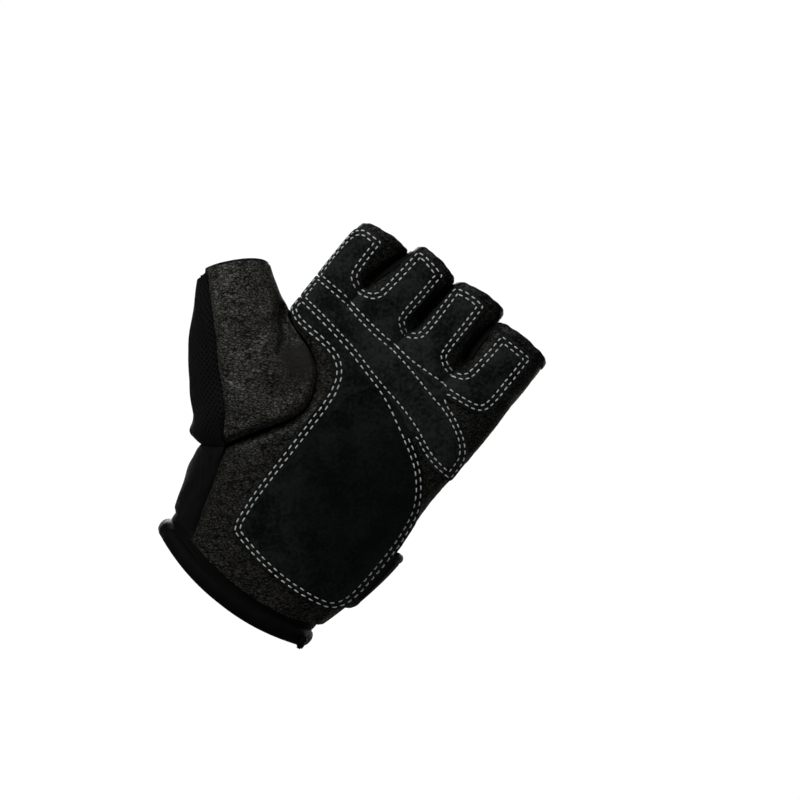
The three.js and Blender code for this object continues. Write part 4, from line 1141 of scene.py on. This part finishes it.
def stitch_spots(row, pitch):
    """Starts, middles and ends of the stitches along a row of evenly spaced points."""
    count = max(1, int(length_of(row) / pitch))
    at = (np.arange(count) + 0.5) / count
    place = np.linspace(0, 1, len(row))
    spots = []
    for way in (-1, 0, 1):
        there = at + way * STITCH_SHARE / 2 / count
        spots.append(np.stack([np.interp(there, place, row[:, k]) for k in (0, 1)], axis=-1))
    return spots


PAD = {"x": 12, "z": 52, "wide": 25.5, "tall": 35}


def pad_rise(flat):
    """How far the foam under the heel patch lifts it."""
    r = np.hypot((flat[:, 0] - PAD["x"]) / PAD["wide"], (flat[:, 1] - PAD["z"]) / PAD["tall"])
    return PAD_RISE * (1 - smooth(0.52, 1.02, r))


def suede_height(name, flat, edge, rows):
    """The height of a patch's top over the leather, from how far its points are from the outline."""
    counts = [max(1, int(length_of(row) / STITCH_PITCH[name])) for row in rows]
    phases = np.concatenate([np.linspace(0, count, len(row)) % 1 for count, row in zip(counts, rows)])
    distance, who = nearest(flat, np.concatenate(rows))
    hole = np.abs(phases[who] - 0.5) * 2  # 0 in the middle of a stitch, 1 between two stitches
    dent = 0.34 + 0.16 * np.exp(-(((hole - 0.62) / 0.16) ** 2))  # deepest where the thread goes through
    height = SUEDE + 0.1 - 0.5 * np.exp(-((edge / 0.28) ** 2)) - dent * np.exp(-((distance / 0.42) ** 2))
    height += 0.35 * smooth(3.2, 8, edge)
    if name == "suede_heel_pad":
        height += pad_rise(flat)
    return height


def flat_mesh(border, spacing):
    """Points and triangles that fill a flat outline evenly."""
    low, high = border.min(axis=0), border.max(axis=0)
    columns, lines = np.arange(low[0], high[0], spacing), np.arange(low[1], high[1], spacing * 0.866)
    grid = np.stack(np.meshgrid(columns, lines), axis=-1)
    grid[1::2, :, 0] += spacing / 2
    grid = grid.reshape(-1, 2)
    grid = grid[inside(grid, border)]
    grid = grid[nearest(grid, border)[0] > spacing * 0.6]
    corners = [Vector(p) for p in np.concatenate([border, grid]).tolist()]
    found = delaunay_2d_cdt(corners, [], [list(range(len(border)))], 1, 1e-6)
    flat, tris = np.array([(v.x, v.y) for v in found[0]]), np.array(found[2])
    cross = np.cross(flat[tris[:, 1]] - flat[tris[:, 0]], flat[tris[:, 2]] - flat[tris[:, 0]])
    tris[cross < 0] = tris[cross < 0][:, ::-1]
    return flat, tris


def patch(name):
    """One suede patch, with a second material slot for its cut edge, and its rows of stitches."""
    line, offsets = flat_outline(name)
    rows = stitch_lines(line, offsets)
    flat, tris = flat_mesh(line[::3], 0.5)
    edge = nearest(flat, line)[0]
    base, normals = suede_base(flat), suede_normals(flat)
    relief = folds("suede", base) + 0.14 * ripples(base, 8, 21) + 0.07 * ripples(base, 2.6, 22)
    height = suede_height(name, flat, edge, rows) + relief * smooth(1.0, 4, edge)
    points, faces = shell(base + normals * height[:, None], base - normals * 0.1, tris)
    item = make(name + "_sewn", points, faces, np.concatenate([flat, flat]), 40)
    cut_edge = np.arange(len(faces)) >= 2 * len(tris)
    item.data.polygons.foreach_set("material_index", cut_edge.astype(np.int32))
    return item, rows


def inside(points, polygon):
    """Which points lie within a flat outline."""
    x, z = points[:, 0], points[:, 1]
    odd = np.zeros(len(points), bool)
    for (ax, az), (bx, bz) in zip(polygon, np.roll(polygon, -1, axis=0)):
        cuts = (az > z) != (bz > z)
        odd ^= cuts & (x < (bx - ax) * (z - az) / (bz - az + 1e-12) + ax)
    return odd


# Rings of a stitch from end to end: how far along its half length they lie, and their share of its radius
THREAD_RINGS = [
    (-1.0, 0.02), (-0.94, 0.62), (-0.75, 0.9), (-0.35, 1.0),
    (0.35, 1.0), (0.75, 0.9), (0.94, 0.62), (1.0, 0.02),
]
THREAD = {"radius": 0.24, "arch": 0.192, "sunk": 0.1, "sides": 7}


def thread_mesh(name, starts, middles, ends, normals):
    """Stitches as bent capsules from arrays of their ends, middles and surface directions, in mm."""
    sides = THREAD["sides"]
    chord = ends - starts
    half = np.linalg.norm(chord, axis=1) / 2
    way = chord / (2 * half)[:, None]
    beside = np.cross(way, normals)
    beside /= np.linalg.norm(beside, axis=1)[:, None]
    up = np.cross(beside, way)
    turn = np.radians(np.arange(sides) * 360 / sides)[None, :, None]
    spoke = beside[:, None] * np.cos(turn) + up[:, None] * np.sin(turn)
    rings = []
    for along, wide in THREAD_RINGS:
        risen = THREAD["arch"] * (1 - along**2) - THREAD["sunk"]
        centre = middles + way * (half * along)[:, None] + up * risen
        rings.append(centre[:, None] + THREAD["radius"] * wide * spoke)
    rings = np.stack(rings, axis=1)
    ids = np.arange(rings[..., 0].size).reshape(rings.shape[:3])
    a, b = ids[:, :-1], ids[:, 1:]
    quads = np.stack([b, np.roll(b, -1, axis=2), np.roll(a, -1, axis=2), a], axis=-1).reshape(-1, 4)
    faces = quads.tolist() + ids[:, 0].tolist() + ids[:, -1, ::-1].tolist()
    return make(name, rings.reshape(-1, 3), faces, None, 80)


def sew(name, patch_name, rows):
    """The stitches of a patch along its rows, each set a little unevenly."""
    spots = [stitch_spots(row, STITCH_PITCH[patch_name]) for row in rows]
    first, middle, second = (np.concatenate(part) for part in zip(*spots))
    first, middle, second = (part + dice.normal(0, 0.03, part.shape) for part in (first, middle, second))
    height = np.full(len(middle), SUEDE - 0.02)
    if patch_name == "suede_heel_pad":
        height += pad_rise(middle)
    places = [suede_base(part) + suede_normals(part) * height[:, None] for part in (first, middle, second)]
    return thread_mesh(name, *places, suede_normals(middle))


suede, threads = {}, {}
for name in OUTLINES:
    suede[name], rows = patch(name)
    threads[name] = sew(name + "_stitches", name, rows)


# Finishes
def new_group(name, inputs, outputs):
    """A node group with named sockets: (name, kind, start value)."""
    tree = bpy.data.node_groups.new(name, "ShaderNodeTree")
    for label, kind, start in inputs:
        socket = tree.interface.new_socket(label, in_out="INPUT", socket_type=kind)
        if start is not None:
            socket.default_value = start
    for label, kind in outputs:
        tree.interface.new_socket(label, in_out="OUTPUT", socket_type=kind)
    return tree, tree.nodes.new("NodeGroupInput"), tree.nodes.new("NodeGroupOutput")


class Nodes:
    """Adds nodes to a tree. Inputs are given by name or place, as a value or as another node's output."""

    def __init__(self, tree):
        self.tree = tree

    def add(self, kind, inputs=None, **settings):
        """A new node with its settings and inputs."""
        node = self.tree.nodes.new(kind)
        for key, value in settings.items():
            setattr(node, key, value)
        for key, value in (inputs or {}).items():
            if isinstance(value, bpy.types.NodeSocket):
                self.tree.links.new(value, node.inputs[key])
            else:
                node.inputs[key].default_value = value
        return node

    def math(self, operation, *values):
        return self.add("ShaderNodeMath", dict(enumerate(values)), operation=operation).outputs[0]

    def spread(self, value, low, high, to_low=0.0, to_high=1.0):
        """Eases a value from the range low to high onto the range to_low to to_high."""
        inputs = {"Value": value, "From Min": low, "From Max": high, "To Min": to_low, "To Max": to_high}
        return self.add("ShaderNodeMapRange", inputs, interpolation_type="SMOOTHSTEP").outputs["Result"]

    def noise(self, vector, scale, detail=3.0, roughness=0.55):
        inputs = {"Vector": vector, "Scale": scale, "Detail": detail, "Roughness": roughness}
        return self.add("ShaderNodeTexNoise", inputs).outputs["Fac"]

    def blend(self, factor, a, b):
        """The colour at a share of the way from a to b."""
        inputs = {"Factor": factor, 6: (*a, 1), 7: (*b, 1)}
        return self.add("ShaderNodeMix", inputs, data_type="RGBA").outputs[2]

    def vector(self, operation, a, b):
        return self.add("ShaderNodeVectorMath", {0: a, 1: b}, operation=operation).outputs

    def weighted(self, a, a_share, b, b_share):
        """The sum of two values, each times its share."""
        return self.math("ADD", self.math("MULTIPLY", a, a_share), self.math("MULTIPLY", b, b_share))

    def from_half(self, value):
        """How far a value is from 0.5."""
        return self.math("ABSOLUTE", self.math("SUBTRACT", value, 0.5))

    def less(self, value):
        """1 less a value."""
        return self.math("SUBTRACT", 1.0, value)


VALUE, VECTOR = "NodeSocketFloat", "NodeSocketVector"


def leather_grain():
    """Pebbles of full-grain leather, drawn out along one way, with fine wavy furrows between them. Where the
    leather is stretched its grain is nearly smooth. The tone it gives is dark in the furrows and creases as
    painted shade, and lighter on the pebbles."""
    inputs = [("Place", VECTOR, None), ("Pebble", VALUE, 1300.0), ("Stretched", VALUE, 0.0)]
    tree, start, end = new_group("leather_grain", inputs, [("Height", VALUE), ("Shaded Tone", VALUE)])
    n = Nodes(tree)
    place, pebble, stretched = (start.outputs[label] for label in ("Place", "Pebble", "Stretched"))
    warp = n.add("ShaderNodeTexNoise", {"Vector": place, "Scale": 330.0, "Detail": 1.5}).outputs["Color"]
    bent = n.vector("ADD", place, n.vector("MULTIPLY", warp, (0.0015, 0.0015, 0.0015))[0])[0]
    turned = {"Vector": bent, "Rotation": (0, math.radians(-38.6), 0), "Scale": (2.4, 1, 1)}
    drawn = n.add("ShaderNodeMapping", turned, vector_type="TEXTURE").outputs[0]
    cells = n.add("ShaderNodeTexVoronoi", {"Vector": drawn, "Scale": pebble}, feature="DISTANCE_TO_EDGE")
    tops = n.spread(cells.outputs["Distance"], 0.0, 0.2)
    furrow = n.spread(n.from_half(n.noise(drawn, n.math("MULTIPLY", pebble, 1.1), 2.0, 0.5)), 0.0, 0.07)
    crease = n.spread(n.from_half(n.noise(drawn, 240.0, 3.0, 0.6)), 0.0, 0.03, 0.5, 1.0)
    raised = n.math("MULTIPLY", n.weighted(tops, 0.55, furrow, 0.45), crease)
    raised = n.math("ADD", 0.03, n.math("MULTIPLY", raised, 0.97))
    kept = n.math("MULTIPLY", raised, n.less(stretched))
    tree.links.new(kept, end.inputs["Height"])
    # The tone is dark in the furrows and creases as painted shade, and lighter on the pebbles
    tree.links.new(n.math("ADD", kept, n.math("MULTIPLY", stretched, 0.36)), end.inputs["Shaded Tone"])
    return tree


def suede_nap():
    """Brushed fibres of suede: where the nap lies one way or the other, and its fine fibres."""
    inputs = [("Place", VECTOR, None), ("Size", VALUE, 90.0)]
    tree, start, end = new_group("suede_nap", inputs, [("Height", VALUE), ("Nap", VALUE)])
    n = Nodes(tree)
    place, size = start.outputs["Place"], start.outputs["Size"]
    wide = n.noise(place, size, 4.0, 0.62)
    small = n.noise(place, n.math("MULTIPLY", size, 9.0), 3.0, 0.6)
    fibre = n.noise(place, 5200.0, 2.0, 0.7)
    tree.links.new(n.spread(n.weighted(wide, 0.5, small, 0.5), 0.38, 0.63), end.inputs["Nap"])
    tree.links.new(n.weighted(fibre, 0.6, small, 0.6), end.inputs["Height"])
    return tree


TURN = 6.28318  # one turn in radians


def knit_diamonds():
    """A warp-knit mesh: rows of small diamond openings between raised yarns."""
    inputs = [("Place", VECTOR, None), ("Pitch", VALUE, 0.002)]
    tree, start, end = new_group("knit_diamonds", inputs, [("Height", VALUE), ("Opening", VALUE)])
    n = Nodes(tree)
    place = start.outputs["Place"]
    xy = n.add("ShaderNodeSeparateXYZ", {0: place}).outputs
    turn = n.math("DIVIDE", TURN, start.outputs["Pitch"])
    climb = n.math("MULTIPLY", xy[1], 0.8)
    leaning = [n.math(way, xy[0], climb) for way in ("ADD", "SUBTRACT")]
    yarns = [n.math("COSINE", n.math("MULTIPLY", at, turn)) for at in leaning]
    opening = n.spread(n.math("MAXIMUM", *yarns), -0.1, 0.55, 1.0, 0.0)
    fine = n.math("MULTIPLY", n.noise(place, 4200.0, 2.0), 0.35)
    tree.links.new(n.math("ADD", n.less(opening), fine), end.inputs["Height"])
    tree.links.new(opening, end.inputs["Opening"])
    return tree


def fine_ribs():
    """Fine knitted or woven ribs, with courses across them."""
    inputs = [("Place", VECTOR, None), ("Across", VALUE, 0.0008), ("Along", VALUE, 0.0006)]
    tree, start, end = new_group("fine_ribs", inputs, [("Height", VALUE), ("Groove", VALUE)])
    n = Nodes(tree)
    place = start.outputs["Place"]
    xy = n.add("ShaderNodeSeparateXYZ", {0: place}).outputs
    waver = n.math("MULTIPLY", n.noise(place, 500.0, 2.0), 0.0004)
    across, along = (
        n.math("DIVIDE", n.math("MULTIPLY", n.math("ADD", xy[k], waver), TURN), start.outputs[label])
        for k, label in enumerate(("Across", "Along"))
    )
    rib = n.math("ADD", n.math("MULTIPLY", n.math("COSINE", across), 0.5), 0.5)
    course = n.math("ADD", n.math("MULTIPLY", n.math("COSINE", n.math("ADD", along, across)), 0.5), 0.5)
    fuzz = n.math("MULTIPLY", n.noise(place, 5000.0, 2.0), 0.3)
    tree.links.new(n.math("ADD", n.weighted(rib, 0.6, course, 0.3), fuzz), end.inputs["Height"])
    tree.links.new(n.less(rib), end.inputs["Groove"])
    return tree


GRAIN, NAP, DIAMONDS, RIBS = leather_grain(), suede_nap(), knit_diamonds(), fine_ribs()


def start_material(name):
    """An empty material with one Principled shader."""
    material = bpy.data.materials.new(name)
    material.use_nodes = True
    tree = material.node_tree
    tree.nodes.clear()
    n = Nodes(tree)
    shader = n.add("ShaderNodeBsdfPrincipled")
    out = n.add("ShaderNodeOutputMaterial")
    tree.links.new(shader.outputs[0], out.inputs["Surface"])
    return material, n, shader


def use(n, tree, **inputs):
    """Places a node group in a material, with its own values."""
    return n.add("ShaderNodeGroup", inputs, node_tree=tree)


def bump(n, height, distance):
    """The normal of a surface whose relief is height times a distance in metres."""
    inputs = {"Height": height, "Distance": distance, "Strength": 1.0}
    return n.add("ShaderNodeBump", inputs).outputs["Normal"]


def finish(shader, **values):
    """Sets plain values of a shader, with _ for each space in their names."""
    for key, value in values.items():
        shader.inputs[key.replace("_", " ")].default_value = value


def leather_finish(name, dark, light, pebble, gloss, stretched=None):
    """Grained leather that shines on its pebbles by gloss. stretched is a place (x, z) and a radius in mm
    where its grain is drawn smooth."""
    material, n, shader = start_material(name)
    place = n.add("ShaderNodeTexCoord").outputs["Object"]
    grain = use(n, GRAIN, Place=place, Pebble=pebble)
    if stretched:
        n.tree.links.new(spot_mask(n, place, *stretched, 0.85), grain.inputs["Stretched"])
    tone = n.spread(n.noise(place, 60.0, 3.0), 0.3, 0.7, 0.9, 1.1)
    # The grain's tone darkens the colour in its furrows and creases as painted shade
    risen = n.math("MULTIPLY", n.math("POWER", grain.outputs["Shaded Tone"], 2.0), tone)
    n.tree.links.new(n.blend(risen, dark, light), shader.inputs["Base Color"])
    n.tree.links.new(n.math("MULTIPLY", risen, gloss), shader.inputs["Coat Weight"])
    n.tree.links.new(bump(n, grain.outputs["Height"], 0.0005), shader.inputs["Normal"])
    finish(shader, Roughness=0.7, Specular_IOR_Level=0.02, Coat_Roughness=0.5)
    return material


def spot_mask(n, place, x, z, radius, most):
    """A soft round mask about a place (x, z) in mm, the same at every depth of the glove."""
    flat = n.vector("MULTIPLY", place, (1, 0, 1))[0]
    away = n.vector("DISTANCE", flat, (x * 0.001, 0, z * 0.001))["Value"]
    return n.spread(away, 0.0004 * radius, 0.0013 * radius, most, 0.0)


def suede_finish(name, dark, light, painted_shade=None):
    """Brushed suede. The last argument is a place (x, z) and a radius in mm round which its colour is
    darkened as painted shade.
    """
    material, n, shader = start_material(name)
    place = n.add("ShaderNodeTexCoord").outputs["Object"]
    nap = use(n, NAP, Place=place, Size=90.0)
    light_share = nap.outputs["Nap"]
    if painted_shade:
        # Painted shade: the colour is darkened round the given place
        light_share = n.math("MULTIPLY", light_share, n.less(spot_mask(n, place, *painted_shade, 0.65)))
    n.tree.links.new(n.blend(light_share, dark, light), shader.inputs["Base Color"])
    n.tree.links.new(bump(n, nap.outputs["Height"], 0.0007), shader.inputs["Normal"])
    finish(shader, Roughness=1.0, Specular_IOR_Level=0.03, Sheen_Weight=0.03, Sheen_Roughness=0.5,
           Sheen_Tint=(0.8, 0.9, 0.86, 1))
    return material


def knit_finish(name, dark, light, pitch):
    """Open knit with one diamond a pitch, with painted shade in its openings."""
    material, n, shader = start_material(name)
    place = n.add("ShaderNodeUVMap", uv_map="UVMap").outputs[0]
    weave = use(n, DIAMONDS, Place=place, Pitch=pitch)
    # Painted shade: the openings are coloured dark, as the shaded inside seen through them
    n.tree.links.new(n.blend(weave.outputs["Opening"], light, dark), shader.inputs["Base Color"])
    n.tree.links.new(bump(n, weave.outputs["Height"], 0.0004), shader.inputs["Normal"])
    finish(shader, Roughness=0.9, Specular_IOR_Level=0.06)
    return material


def ribbed_finish(name, dark, light, across, along, depth):
    """Ribbed cloth with painted shade in its grooves."""
    material, n, shader = start_material(name)
    place = n.add("ShaderNodeUVMap", uv_map="UVMap").outputs[0]
    ribs = use(n, RIBS, Place=place, Across=across, Along=along)
    # Painted shade: the grooves between the ribs are coloured dark
    n.tree.links.new(n.blend(ribs.outputs["Groove"], light, dark), shader.inputs["Base Color"])
    n.tree.links.new(bump(n, ribs.outputs["Height"], depth), shader.inputs["Normal"])
    finish(shader, Roughness=0.7, Specular_IOR_Level=0.05)
    return material


def thread_finish(name, dark, light):
    """Pale sewing thread with a fine fuzz."""
    material, n, shader = start_material(name)
    place = n.add("ShaderNodeTexCoord").outputs["Object"]
    fibre = n.noise(place, 2600.0, 2.0)
    n.tree.links.new(n.blend(fibre, dark, light), shader.inputs["Base Color"])
    n.tree.links.new(bump(n, fibre, 0.00012), shader.inputs["Normal"])
    finish(shader, Roughness=0.6, Specular_IOR_Level=0.4)
    return material


# Each finish with its dark and light colour, then the values that its function names
thumb_grain = leather_finish(
    "grain_leather", (0.0006, 0.0006, 0.0005), (0.0740, 0.0725, 0.0605), 1200.0, 0.5, (-33, 84, 9))
# The palm's leather is a darker copy of the thumb's leather, as painted shade where less light reaches the
# palm
palm_grain = leather_finish(
    "grain_leather_palm_shaded", (0.0004, 0.0004, 0.0004), (0.0345, 0.0338, 0.0284), 1200.0, 0.3)
hem_leather = leather_finish("hem_leather", (0.0006, 0.0006, 0.0008), (0.020, 0.0195, 0.0198), 1250.0, 0.5)
suede_black = suede_finish("suede", (0.0026, 0.0035, 0.0032), (0.0204, 0.0236, 0.0222))
# The heel pad's suede is a darker copy of the suede, with a darker spot round its middle, both as painted
# shade
suede_pad = suede_finish("suede_pad_shaded", (0.0012, 0.0018, 0.0016), (0.0140, 0.0170, 0.0156), (16, 61, 38))
suede_cut = suede_finish("suede_cut_edge", (0.024, 0.026, 0.026), (0.068, 0.070, 0.068))
knit_black = knit_finish("knit_mesh", (0.0010, 0.0010, 0.0011), (0.0064, 0.0062, 0.0064), 0.0018)
stretch_black = ribbed_finish(
    "stretch_knit", (0.0016, 0.0014, 0.0015), (0.0043, 0.0037, 0.0040), 0.0009, 0.0007, 0.0001)
elastic_black = ribbed_finish(
    "elastic_binding", (0.0008, 0.0008, 0.0008), (0.0022, 0.0022, 0.0022), 0.0006, 0.0006, 0.00004)
strap_black = ribbed_finish(
    "strap_fabric", (0.0030, 0.0030, 0.0032), (0.0090, 0.0090, 0.0094), 0.0014, 0.0014, 0.0002)
thread_grey = thread_finish("thread", (0.36, 0.37, 0.38), (0.72, 0.73, 0.74))

# Each piece with the solid it stands for, its finish and the slot of that finish
WORN = [
    (palm_leather, "palm_leather", palm_grain, "grain_leather"),
    (thumb_leather, "thumb_leather", thumb_grain, "grain_leather"),
    (back_mesh, "back_mesh", knit_black, "knit_mesh"),
    (thumb_mesh, "thumb_mesh", knit_black, "knit_mesh"),
    (wrist_panel, "wrist_stretch_panel", stretch_black, "stretch_knit"),
    *((strip, strip.name.removesuffix("_strip"), stretch_black, "stretch_knit") for strip in fourchettes),
    *((hem, hem.name.removesuffix("_turned"), hem_leather, "hem_leather") for hem in finger_hems),
    (thumb_hem, "thumb_hem", hem_leather, "hem_leather"),
    (binding, "wrist_binding", elastic_black, "elastic_binding"),
    (tape, "binding_end", elastic_black, "elastic_binding"),
    (strap, "wrist_strap", strap_black, "strap_fabric"),
    (suede["suede_fingers"], "suede_fingers", suede_black, "suede"),
    (suede["suede_middle"], "suede_middle", suede_black, "suede"),
    (suede["suede_heel_pad"], "suede_heel_pad", suede_pad, "suede"),
]
for item, solid, material, slot in WORN:
    item.data.materials.append(material)
    if slot == "suede":
        item.data.materials.append(suede_cut)
    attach(item, "root")
    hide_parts(solid)
for stitches in threads.values():
    stitches.data.materials.append(thread_grey)
    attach(stitches, "root")


# Floor, light and camera
FLOOR_Z = -160  # well below the wrist, because the glove hangs in the air


def bowl(radius, rise):
    """A pale floor that curves up into a wall all round."""
    profile = [(radius * 0.3, 0), (radius * 0.6, 0)]
    for k in range(1, 13):
        bend = math.radians(90 * k / 12)
        profile.append((radius * 0.6 + radius * 0.4 * math.sin(bend), radius * 0.4 * (1 - math.cos(bend))))
    profile.append((radius, rise))
    steps = 72
    turns = [2 * math.pi * i / steps for i in range(steps)]
    verts = [(0, 0, 0)] + [(r * math.cos(turn), r * math.sin(turn), z) for r, z in profile for turn in turns]
    faces = [(0, 1 + i, 1 + (i + 1) % steps) for i in range(steps)]
    for k in range(len(profile) - 1):
        a, b = 1 + k * steps, 1 + (k + 1) * steps
        faces += [(a + i, b + i, b + (i + 1) % steps, a + (i + 1) % steps) for i in range(steps)]
    return make("studio_floor", np.array(verts) + [0, 0, FLOOR_Z], faces, None, 60)


def floor_finish():
    """White to the camera, but dull grey to the glove, so that it throws little light back."""
    material, n, shader = start_material("studio_white")
    glow = n.add("ShaderNodeEmission", {"Color": (1, 1, 1, 1), "Strength": 1.02}).outputs[0]
    seen = n.add("ShaderNodeLightPath").outputs["Is Camera Ray"]
    mixed = n.add("ShaderNodeMixShader", {0: seen, 1: shader.outputs[0], 2: glow})
    n.tree.links.new(mixed.outputs[0], n.tree.nodes["Material Output"].inputs["Surface"])
    finish(shader, Base_Color=(0.2, 0.2, 0.2, 1), Roughness=0.9)
    return material


floor = bowl(3200, 4200)
floor.data.materials.append(floor_finish())

# Square lights, with their places and sizes in mm
LIGHTS = table("name at size watts", [
    ("window", (-500, -380, 260), 260, 3.2),
    ("ceiling", (100, -700, 1300), 700, 3.6),
    ("fill", (900, -1000, 700), 700, 2.4),
    ("behind_left", (-420, 1250, 400), 600, 42),
    ("behind_right", (600, 1100, 500), 600, 6),
])
for row in LIGHTS:
    lamp = bpy.data.lights.new(row["name"], "AREA")
    lamp.energy, lamp.size = row["watts"], row["size"] * 0.001
    item = bpy.data.objects.new(row["name"], lamp)
    item.location = Vector(row["at"]) * 0.001
    item.rotation_euler = (Vector((0, 0, 0.08)) - item.location).to_track_quat("-Z", "Y").to_euler()
    bpy.context.scene.collection.objects.link(item)
world = bpy.data.worlds.new("studio_air")
world.use_nodes = True
world.node_tree.nodes["Background"].inputs["Color"].default_value = (1, 1, 1, 1)
world.node_tree.nodes["Background"].inputs["Strength"].default_value = 0.02
bpy.context.scene.world = world
bpy.context.scene.view_settings.view_transform = "Standard"

# The camera looks along +Y, rolled by 38.6 degrees because the photo shows the glove slanted as much
FOCAL_PIXELS, PHOTO_PIXELS = 2940, 800
camera = bpy.data.cameras.new("photo_view")
camera.lens, camera.sensor_width = FOCAL_PIXELS / PHOTO_PIXELS * 36, 36
camera.clip_start, camera.clip_end = 0.05, 20
eye = bpy.data.objects.new("photo_view", camera)
right, up = Vector((0.7815, 0, 0.624)), Vector((-0.624, 0, 0.7815))
turned = Matrix((right, up, right.cross(up))).transposed().to_4x4()
eye.matrix_world = Matrix.Translation((0.0056, -1.1, 0.0951)) @ turned
bpy.context.scene.collection.objects.link(eye)
bpy.context.scene.camera = eye
